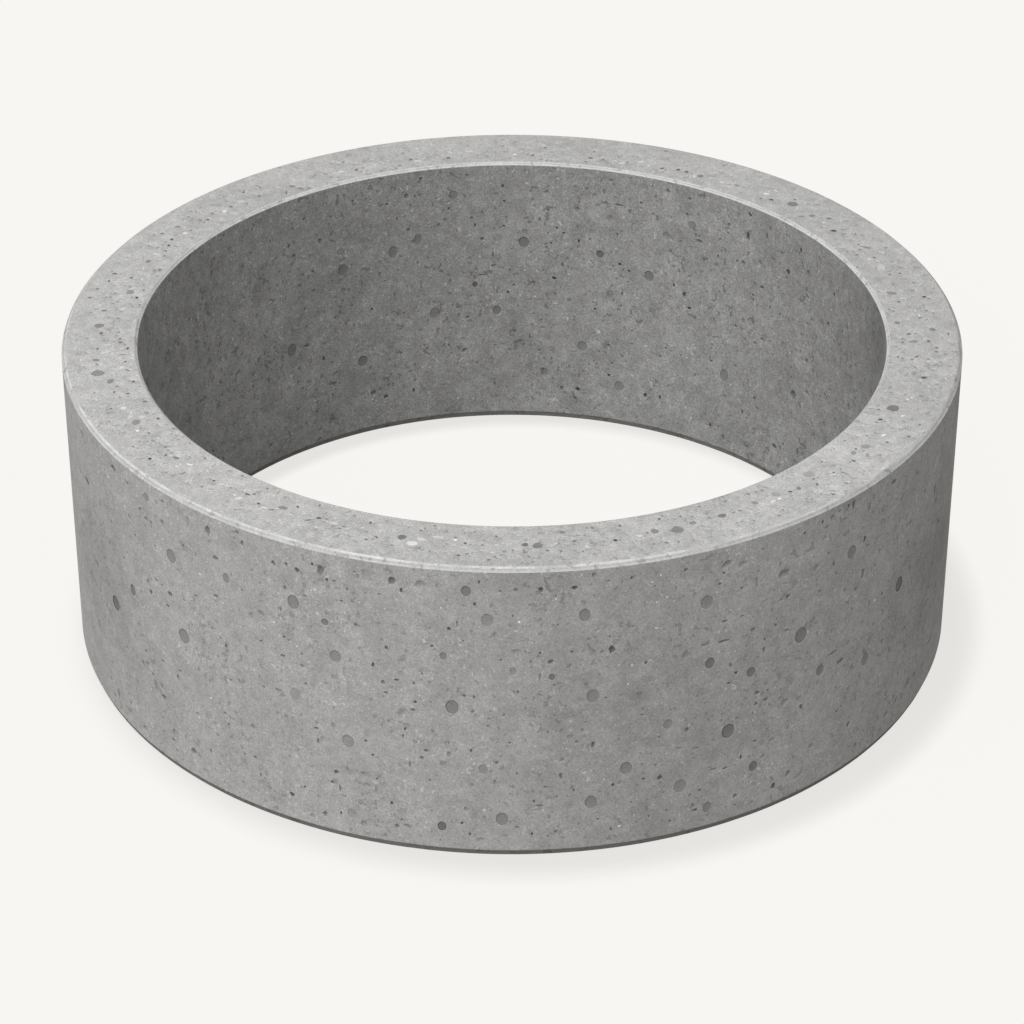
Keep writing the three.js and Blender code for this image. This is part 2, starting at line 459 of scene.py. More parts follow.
    (735, 796, 4, 3, 1.4), (735, 805, 2.5, 1.5, 1.6), (693, 805, 2, 2.5, 1.6), (695, 810, 4, 3, 1.6),
    (667, 810, 2.5, 1.5, 1.8), (649, 816, 2, 2.5, 1.4), (631, 802, 2, 1.5, 1.7), (670, 821, 2.5, 3, 1.4),
    (635, 836, 2, 1.5, 1.5), (878, 655, 2, 3.5, 1.2), (833, 653, 9, 2.5, 1.1), (841, 661, 6, 4, 1.3),
    (908, 682, 3, 7, 1.0), (886, 694, 3, 6, 0.6), (896, 700, 2, 5, 1.6), (886, 714, 4, 3, 1.3),
    (882, 719, 1.5, 4, 1.1), (837, 711, 2.5, 2, 1.6), (801, 707, 3, 4, 1.6), (848, 724, 2.5, 4, 1.7),
    (832, 734, 2, 1.5, 1.2), (863, 740, 1.5, 3, 1.4), (855, 745, 2.5, 3, 1.4), (812, 746, 6, 5, 0.6),
    (801, 772, 2, 1.5, 1.2), (764, 714, 1.5, 3, 1.1), (806, 671, 4, 3, 0.6), (894, 482, 4, 4, 1.4),
    (936, 500, 1.5, 3, 1.8), (935, 488, 1.5, 8, 1.2), (925, 491, 1.5, 3, 1.3), (867, 487, 2, 3, 1.3),
    (902, 499, 2, 3, 1.2), (883, 511, 2, 2, 1.3), (868, 516, 2, 3, 1.3), (905, 627, 1.5, 2.5, 1.6),
    (882, 594, 2, 2.5, 1.5), (852, 609, 2, 2, 1.4), (829, 553, 2, 2.5, 1.4), (868, 545, 2, 2.5, 1.4),
    (841, 706, 2, 2, 1.6), (845, 519, 3, 3, 0.9), (930, 607, 1.5, 2, 1.3), (914, 675, 2, 5, 0.9),
    (151, 522, 2.5, 2.5, 1.5), (129, 516, 2.5, 2.5, 1.4), (135, 535, 2, 2, 1.3), (82, 511, 1.5, 6, 1.4),
    (111, 522, 2, 3, 1.2), (95, 581, 2, 2.5, 1.5), (97, 604, 2, 2, 1.3), (148, 581, 2, 2.5, 1.4),
    (162, 585, 2, 2, 1.4), (184, 600, 2.5, 2, 1.2), (196, 596, 3, 2, 1.2), (127, 647, 2, 2, 1.5),
    (131, 703, 2, 3, 1.4), (180, 671, 3, 2.5, 1.2), (178, 570, 4, 1.5, 1.2), (155, 546, 2, 2.5, 1.1),
    (108, 677, 1.5, 2, 1.3),
]
# The same in the bore.
borePits = [
    (304, 219, 2, 1.5, 1.7), (320, 241, 4, 6, 0.8), (313, 271, 2.5, 2, 1.5), (303, 275, 2.5, 3, 1.0),
    (289, 246, 3, 4, 0.9), (294, 256, 3, 3, 0.8), (362, 293, 2, 1.5, 1.0), (385, 281, 2, 1.5, 1.0),
    (372, 309, 2, 2.5, 1.9), (307, 326, 2, 2, 1.0), (306, 346, 5, 2, 1.4), (324, 359, 2.5, 4, 1.7),
    (311, 362, 2, 1.5, 1.7), (333, 362, 2, 1.5, 1.7), (410, 371, 1.5, 2, 1.6), (415, 380, 2.5, 1.5, 1.2),
    (414, 390, 2, 3, 1.8), (401, 353, 1.5, 1.5, 1.2), (386, 397, 4, 3, 1.5), (374, 393, 5, 4, 1.0),
    (335, 384, 4, 4, 0.7), (409, 230, 3, 2.5, 0.9), (393, 312, 3, 1.5, 1.0), (404, 313, 2, 1.5, 1.2),
    (449, 209, 3, 2.5, 1.2), (408, 198, 2.5, 1.5, 1.4), (415, 196, 2, 2, 1.3), (503, 186, 3, 3, 1.4),
    (504, 201, 3, 1.5, 2.0), (504, 226, 2, 1.5, 2.1), (494, 229, 2, 1, 1.5), (472, 218, 3, 3, 1.0),
    (475, 225, 2, 3, 1.4), (482, 212, 1.5, 4, 1.2), (482, 239, 3, 2.5, 1.4), (493, 254, 1.5, 5, 1.6),
    (494, 266, 5, 4, 0.6), (482, 275, 6, 1.5, 1.2), (439, 225, 3, 3, 0.9), (508, 292, 2.5, 2, 2.0),
    (514, 285, 3, 1.5, 1.2), (510, 270, 2, 2, 1.2), (468, 317, 2.5, 1.5, 1.7), (548, 210, 2, 2, 1.2),
    (531, 191, 2, 1.5, 1.2), (547, 192, 5, 3, 0.9), (540, 219, 2, 4, 1.0), (548, 233, 1.5, 1.5, 1.4),
    (557, 228, 2.5, 1.5, 2.0), (551, 243, 2, 1.5, 1.8), (547, 248, 3, 3, 0.8), (554, 278, 4, 2.5, 2.0),
    (534, 282, 2.5, 1.5, 1.2), (449, 345, 2, 1.5, 1.6), (465, 350, 5, 4, 0.9), (495, 345, 2, 1, 1.4),
    (503, 344, 5, 1, 0.9), (515, 331, 2, 2, 1.2), (539, 350, 3, 1.5, 1.3), (518, 345, 8, 10, 0.4),
    (564, 233, 3, 1.5, 2.0), (579, 241, 2, 3, 2.0), (578, 247, 2, 1.5, 1.4), (590, 239, 2, 2, 1.4),
    (617, 234, 2, 1.5, 1.2), (563, 265, 2.5, 5, 1.0), (613, 266, 2, 1.5, 1.5), (620, 264, 3.5, 2.5, 1.9),
    (629, 271, 2.5, 1.5, 2.0), (628, 282, 2, 2, 1.2), (622, 294, 2, 4, 1.1), (595, 309, 3, 1.5, 1.8),
    (674, 285, 2, 2.5, 1.8), (684, 294, 2.5, 5, 1.7), (689, 308, 3.5, 2, 2.0), (671, 251, 2, 2, 1.0),
    (667, 236, 7, 6, 0.4), (632, 331, 2, 1.5, 1.4), (609, 345, 3, 1.5, 1.2), (632, 344, 4, 1, 1.0),
    (666, 348, 2.5, 1.5, 1.5), (660, 356, 3, 1.5, 1.5), (594, 361, 2, 1.5, 1.3), (612, 363, 2, 1.5, 1.3),
    (558, 370, 1.5, 2, 1.6), (609, 375, 2.5, 2, 2.1), (654, 386, 2, 1, 1.5), (578, 389, 4, 2.5, 1.9),
    (562, 388, 4, 4, 1.0), (544, 372, 8, 8, 0.5), (645, 395, 3, 3, 1.8), (660, 397, 1.5, 3, 1.9),
    (695, 375, 2, 2, 1.3), (575, 398, 3, 3, 1.2), (594, 333, 4, 1.5, 0.8), (687, 214, 2.5, 1.5, 1.8),
    (699, 241, 5, 2.5, 1.2), (750, 215, 3, 4, 1.6), (729, 225, 3, 3, 1.0), (728, 233, 2, 1.5, 1.4),
    (748, 236, 3, 7, 1.6), (767, 236, 1.5, 5, 1.3), (718, 256, 1.5, 3, 1.5), (737, 261, 2, 1.5, 1.6),
    (743, 263, 4, 4, 0.9), (782, 253, 2, 2, 1.4), (801, 250, 1.5, 5, 1.8), (802, 263, 1.5, 1.5, 1.5),
    (821, 263, 1.5, 1.5, 1.4), (788, 272, 3, 5, 1.7), (808, 272, 1.5, 4, 1.3), (773, 259, 3, 3, 0.9),
    (762, 287, 3, 2, 1.7), (753, 295, 2, 2, 1.6), (783, 294, 3, 1.5, 1.1), (834, 295, 1.5, 4, 1.5),
    (770, 307, 1.5, 3, 1.3), (753, 322, 3, 2, 0.9), (736, 326, 2.5, 1.5, 1.6), (828, 324, 2, 4, 1.7),
    (762, 339, 3, 2, 1.3), (755, 343, 3, 2, 1.1), (711, 361, 3, 2, 1.3), (699, 358, 1.5, 1.5, 1.2),
    (735, 366, 3, 1.5, 1.0), (806, 361, 2.5, 4, 1.2), (694, 376, 1.5, 1.5, 1.2), (793, 395, 5, 7, 1.1),
    (754, 398, 2, 3, 1.4), (705, 414, 2, 1.5, 1.2), (710, 425, 2.5, 3, 1.6), (718, 426, 1.5, 1.5, 1.6),
    (742, 412, 2, 4, 1.2), (746, 418, 2, 1.5, 1.6), (757, 408, 2.5, 1.5, 1.6), (754, 429, 1.5, 2, 1.3),
    (723, 437, 2, 5, 1.1), (774, 446, 3, 4, 1.5), (783, 444, 1.5, 3, 1.2), (797, 451, 1.5, 6, 1.4),
    (612, 203, 4, 2.5, 1.5), (619, 205, 8, 2, 1.3), (611, 180, 3, 2, 1.2), (641, 203, 2.5, 1.5, 1.8),
    (668, 191, 3, 3, 1.0), (690, 199, 3, 3, 1.0), (680, 207, 2, 1.5, 1.1), (653, 214, 2, 2, 1.0),
    (407, 196, 4, 4, 0.9), (387, 204, 3, 2, 1.4), (353, 201, 2, 2, 1.3), (421, 179, 3, 3, 1.1),
    (467, 175, 2.5, 2, 1.4),
]
# Pale grains in the outer wall, with a tone below 0.
outerGrains = [
    (200, 574, 3, 2, -1.6), (311, 590, 2.5, 1.5, -1.4), (274, 622, 2.5, 3, -1.3), (297, 646, 2, 2, -1.5),
    (317, 613, 5, 3, -0.8), (345, 631, 3, 3, -0.9), (424, 641, 4, 5, -0.8), (441, 608, 2, 2, -1.8),
    (519, 622, 4, 2.5, -2.0), (516, 631, 5, 2, -1.0), (460, 645, 5, 3, -0.7), (556, 599, 3, 2, -1.6),
    (667, 597, 2.5, 2, -2.2), (657, 602, 2, 2, -1.6), (674, 601, 2, 2, -1.5), (652, 582, 3, 2, -1.8),
    (661, 575, 2, 3, -1.5), (656, 628, 2.5, 2, -2.2), (651, 660, 2, 1.5, -1.8), (628, 684, 2.5, 2, -2.2),
    (733, 685, 2, 1.5, -1.6), (632, 665, 3, 4, -1.0), (619, 665, 2, 1.5, -1.4), (731, 610, 1.5, 2, -1.3),
    (875, 600, 2, 2, -2.0), (887, 588, 2, 1.5, -0.9), (211, 698, 2, 2, -2.2), (404, 715, 3, 2, -0.8),
    (619, 826, 3, 2, -2.2), (604, 779, 2, 2, -1.7), (461, 790, 2, 1.5, -1.3), (543, 810, 4, 3, -0.8),
    (658, 734, 3, 1.5, -1.1), (634, 815, 1.5, 3, -1.0), (296, 755, 2, 1.5, -1.0), (494, 708, 2, 2, -1.2),
    (425, 827, 3, 3, -0.7), (535, 746, 2, 2, -1.1), (483, 620, 2, 2, -1.0), (223, 603, 2, 2, -1.0),
    (697, 655, 12, 9, -0.2), (664, 693, 6, 10, -0.2), (799, 695, 1.5, 2, -1.0),
]
# Stones that the top end shows cut through, with a darker rim. These rows also end with how far the mark
# is turned in the image, in degrees.
topStones = [
    (891.5, 293, 11, 3.5, 0.9, -12), (897.5, 322.8, 4.5, 3.2, 1.3, 20), (932.8, 329.3, 6, 3.7, 1.0, 0),
    (914, 341.5, 8, 2.5, 0.7, 0), (97.3, 373.3, 10, 8, 0.95, 25), (110.3, 381, 6.5, 4.5, 0.95, 0),
    (136.3, 422, 9, 5, 0.7, 0), (99.5, 325.5, 8.5, 4.5, 1.1, -8), (130.3, 292.3, 8, 4, 0.8, 10),
    (283.5, 507.7, 9, 4, 0.9, -15), (402, 537, 8, 4.7, 1.7, -3), (692.3, 523, 6.5, 3.7, 0.8, 15),
    (562.5, 532.3, 6, 3, 0.9, -5), (754.7, 502.7, 7.5, 3, 0.8, 0), (722.5, 515.5, 9, 4, 1.5, 8),
    (853.3, 452.7, 6, 4.3, 0.7, 0), (148.4, 261.3, 4.3, 2.8, 1.4, 25), (700.7, 176, 5.5, 2.8, 1.2, 0),
    (812.5, 215.7, 6, 2.7, 0.9, 5), (798.7, 488.2, 3.7, 3.2, 1.2, 0), (914, 373, 6, 3.5, 0.45, 0),
]
# Plain dark stones in the top end, and pale grains with a tone below 0.
topGrains = [
    (893.5, 408, 12.5, 6.5, 0.9, -5), (897.7, 402.7, 6, 3, 0.4, -30), (865.5, 446.5, 8.5, 3.8, 0.5, 0),
    (877, 278.5, 6, 4, 0.2, 0), (893, 283.7, 4, 3.2, 0.4, 0), (907.5, 306.5, 7, 3, 0.2, 0),
    (901.5, 371, 6, 3.5, 0.2, 0), (933, 370.7, 4, 2, 0.3, 0), (903.8, 421.7, 4, 2, 0.3, 0),
    (912, 419.5, 3.5, 3, 0.35, 0), (677, 529.5, 11.5, 6, 0.75, 0), (655.3, 531, 7, 4, 0.75, 0),
    (651.5, 539, 4, 3, 0.2, 0), (537.5, 545.3, 9, 6, 0.8, 5), (525, 544.6, 6, 3.3, 1.0, -8),
    (541, 533, 7, 3, 0.22, 0), (528.5, 530.5, 4, 2, 0.22, 0), (517, 530, 5, 2, 0.22, 0),
    (776, 494, 9, 4.3, 0.35, 0), (808.5, 474, 9.5, 6, 0.33, 10), (792.5, 204.3, 9, 4, 0.85, 0),
    (216, 204.8, 11, 3, 0.35, -5), (315.5, 174.8, 3.5, 2.3, 0.45, 0), (124, 292.5, 3.5, 2.3, 0.35, 0),
    (116, 347.5, 3, 3, 0.22, 0), (717, 521.7, 3.5, 2, 0.25, 0), (712, 530.5, 3.5, 2.3, 0.3, 0),
    (872.7, 466.7, 3, 2.3, 0.3, 0), (495.5, 152.5, 3, 2.6, 0.3, 0), (505.5, 151.5, 6, 2.2, 0.3, 0),
    (667.5, 159, 4, 1.8, 0.35, 0), (141.5, 384, 5, 3, 0.2, 0), (881.5, 267.5, 7, 6, -0.4, 0),
    (882.5, 252.5, 2.5, 2, -0.5, 0), (903, 298.3, 7, 1.5, -0.5, 0), (915.3, 310.7, 2, 1.5, -0.6, 0),
    (919.3, 315.3, 2.4, 1.5, -1.2, 0), (908, 319, 3, 1.3, -0.4, 0), (905, 312, 4, 1.5, -0.3, 0),
    (925.5, 338.7, 4, 1.2, -0.5, 0), (869, 258.5, 4, 3, -0.25, 0), (928, 361.2, 3, 1.2, -0.6, 0),
    (907.5, 399.3, 2.7, 1.5, -1.0, 0), (911.7, 397.8, 3, 1.5, -0.7, 0),
    (902.5, 415.8, 4, 1.6, -1.0, 10), (883.7, 435.2, 4, 2, -1.2, 20), (859, 435, 3, 1.3, -0.6, 0),
    (894.5, 438, 1.8, 1.8, -0.7, 0), (920.5, 380.3, 3, 1.7, -0.4, 0), (928.5, 386.5, 2, 1.5, -0.5, 0),
    (877, 431.5, 4, 2, -0.3, 0), (117.3, 311, 3, 1.5, -1.0, 15), (123, 308.8, 7, 1.4, -0.8, 20),
    (107, 344.8, 9, 2, -0.4, 5), (105.5, 352, 9, 2, -0.5, 20), (112, 348.3, 2.3, 2.5, -0.5, 0),
    (142, 279, 3, 1.8, -0.6, -20), (147.5, 277, 3, 1.3, -0.4, 0), (143.5, 268, 1.5, 3, -0.5, 0),
    (138.5, 272, 2, 2, -0.4, 0), (126, 281.5, 3, 1.5, -0.4, 0), (121.5, 367.5, 3, 2, -0.8, 0),
    (123.3, 408.2, 5, 2.8, -0.8, -10), (118, 406.2, 4, 1.5, -0.5, -20), (131, 412.7, 2.5, 2, -0.6, 0),
    (130.3, 416.7, 6, 2.8, -0.45, 0), (142.3, 417, 7, 2.8, -0.5, 0), (137.3, 430.8, 2.5, 2.7, -1.3, 30),
    (158.3, 438, 2.3, 1.8, -0.9, 0), (142.7, 427, 3, 1.6, -0.35, 0), (170.7, 455.3, 3, 1.5, -0.5, -20),
    (154.5, 443.3, 6, 1.3, -0.35, -20), (100.5, 406.7, 4, 1.3, -0.3, 10),
    (190, 464.5, 6.5, 1.3, -1.2, -12), (195, 466, 2.5, 1.2, -1.0, -10), (207.5, 471, 3.5, 2, -0.7, -50),
    (220.7, 484, 5, 2, -0.5, 0), (225, 481.3, 3, 1.3, -0.5, 40), (238.5, 498.3, 7, 2.3, -0.8, 10),
    (234.7, 495, 2.5, 1.7, -0.9, 0), (264.5, 507.5, 6, 1.4, -0.8, -15), (190, 455.5, 5, 1.2, -0.3, -30),
    (204, 477.3, 3, 1.5, -0.3, 0), (243, 485, 5, 2, -0.25, 0), (412, 543.5, 8.5, 4.8, -1.0, -10),
    (421.5, 539.3, 11, 4, -0.55, -15), (437.5, 537.2, 12, 2.2, -0.5, -5), (455.3, 540, 3.2, 2, -1.2, 0),
    (463, 547.3, 8, 1.7, -0.4, 0), (497, 545.2, 5, 1.7, -0.6, 0), (483.5, 550.2, 9, 1.3, -0.4, 0),
    (555.5, 543.5, 3.3, 2.3, -0.7, 0), (550.7, 545.7, 5, 1.5, -0.3, 0), (481.5, 542.3, 4, 1.2, -0.4, 0),
    (451, 550.5, 3, 1.5, -0.3, 0), (288, 514.3, 7, 1.5, -0.4, 0), (303.5, 513.5, 3.5, 1.5, -0.7, 0),
    (311, 511.5, 2, 1.3, -0.6, 0), (312.7, 514.3, 2.5, 1.3, -0.4, 0), (333.5, 523.3, 9, 1.6, -0.7, -8),
    (347.3, 529, 4, 1.5, -0.6, 0), (362.5, 527.5, 3.5, 1.3, -0.6, 0), (380, 530.7, 3, 1.3, -0.5, 0),
    (347, 514, 5, 1.2, -0.3, 0), (336.5, 534.5, 1.5, 1.2, -0.6, 0), (640, 535.7, 4.5, 2.3, -0.8, 0),
    (643, 538.2, 2.3, 1.6, -0.7, 0), (587, 546.5, 4, 2.2, -0.8, -20), (587, 543.6, 2, 1.5, -0.5, 0),
    (567, 543.3, 5, 1.7, -0.3, 0), (562, 554.2, 1.7, 1.3, -0.5, 0), (611, 545.5, 12, 3, -0.22, 0),
    (779.5, 498.6, 3.7, 1.7, -1.2, 10), (773, 501.3, 5, 2, -0.9, 20), (761, 509.5, 3.5, 1.3, -0.5, 0),
    (756.5, 512.7, 3.5, 1.5, -0.3, 0), (833.5, 474.5, 5.5, 1.3, -0.8, 0), (830.6, 472, 2, 2, -0.7, 0),
    (837.5, 466.8, 4, 2, -0.4, 30), (793.5, 467.7, 3, 1.5, -0.3, 0), (185, 233.3, 4, 2, -1.0, -5),
    (180, 235.3, 5, 1.2, -0.5, 30), (224.3, 211.5, 4, 2.8, -0.9, 0), (156.3, 254.3, 7, 1.3, -0.8, -15),
    (150.8, 255, 2, 2, -0.7, 40), (241, 201.3, 7, 2.6, -0.35, 0), (235.5, 201, 3, 2.6, -0.3, 0),
    (277.5, 187.2, 5, 1.4, -0.4, -20), (293, 179.3, 3, 1.5, -0.4, 0), (267.3, 190.5, 3, 1.5, -0.3, 0),
    (341, 171.5, 7, 1.3, -0.7, 5), (346.5, 172.7, 3, 1, -0.5, -20), (418, 161, 8, 1.3, -0.6, 0),
    (424, 158.3, 3, 1.5, -0.6, 30), (322, 174.3, 6, 1.5, -0.3, 0), (514.8, 154.5, 4.5, 1.5, -1.6, 0),
    (469, 151.3, 7, 1.3, -0.5, 5), (475, 152.3, 4, 1.2, -0.5, -25), (449.5, 152, 4, 1.5, -0.5, 0),
    (505.3, 164, 2, 1.2, -0.5, 0), (529, 147, 6, 1.3, -0.3, 0), (574, 153.7, 5, 1.3, -0.3, 20),
    (615, 161, 4.5, 1.3, -0.5, -10), (621.5, 163, 6, 1.5, -0.6, 0), (640.5, 161.8, 5.5, 1.5, -0.7, 0),
    (648.5, 165.2, 2.5, 1.2, -0.4, 0), (694.5, 176.3, 3.3, 2.3, -0.8, 0), (685.5, 183, 3, 1.2, -0.4, 0),
    (712, 178.3, 8, 1.2, -0.3, 5), (766.5, 193.9, 6, 1.6, -1.0, -8), (761, 192.5, 3, 1, -0.6, -15),
    (775.5, 190.8, 4, 1.4, -0.7, -30), (778, 194.3, 5, 1, -0.4, 0), (722, 182.2, 4.5, 1.4, -0.7, -15),
    (729, 186.7, 5.5, 1.1, -0.5, -5), (823.7, 222.5, 3, 1.7, -0.6, 0), (824, 226.3, 3, 1.7, -0.4, -20),
    (797.3, 208, 2, 2, -0.6, -45), (816, 220.2, 3, 1.3, -0.3, 0),
]
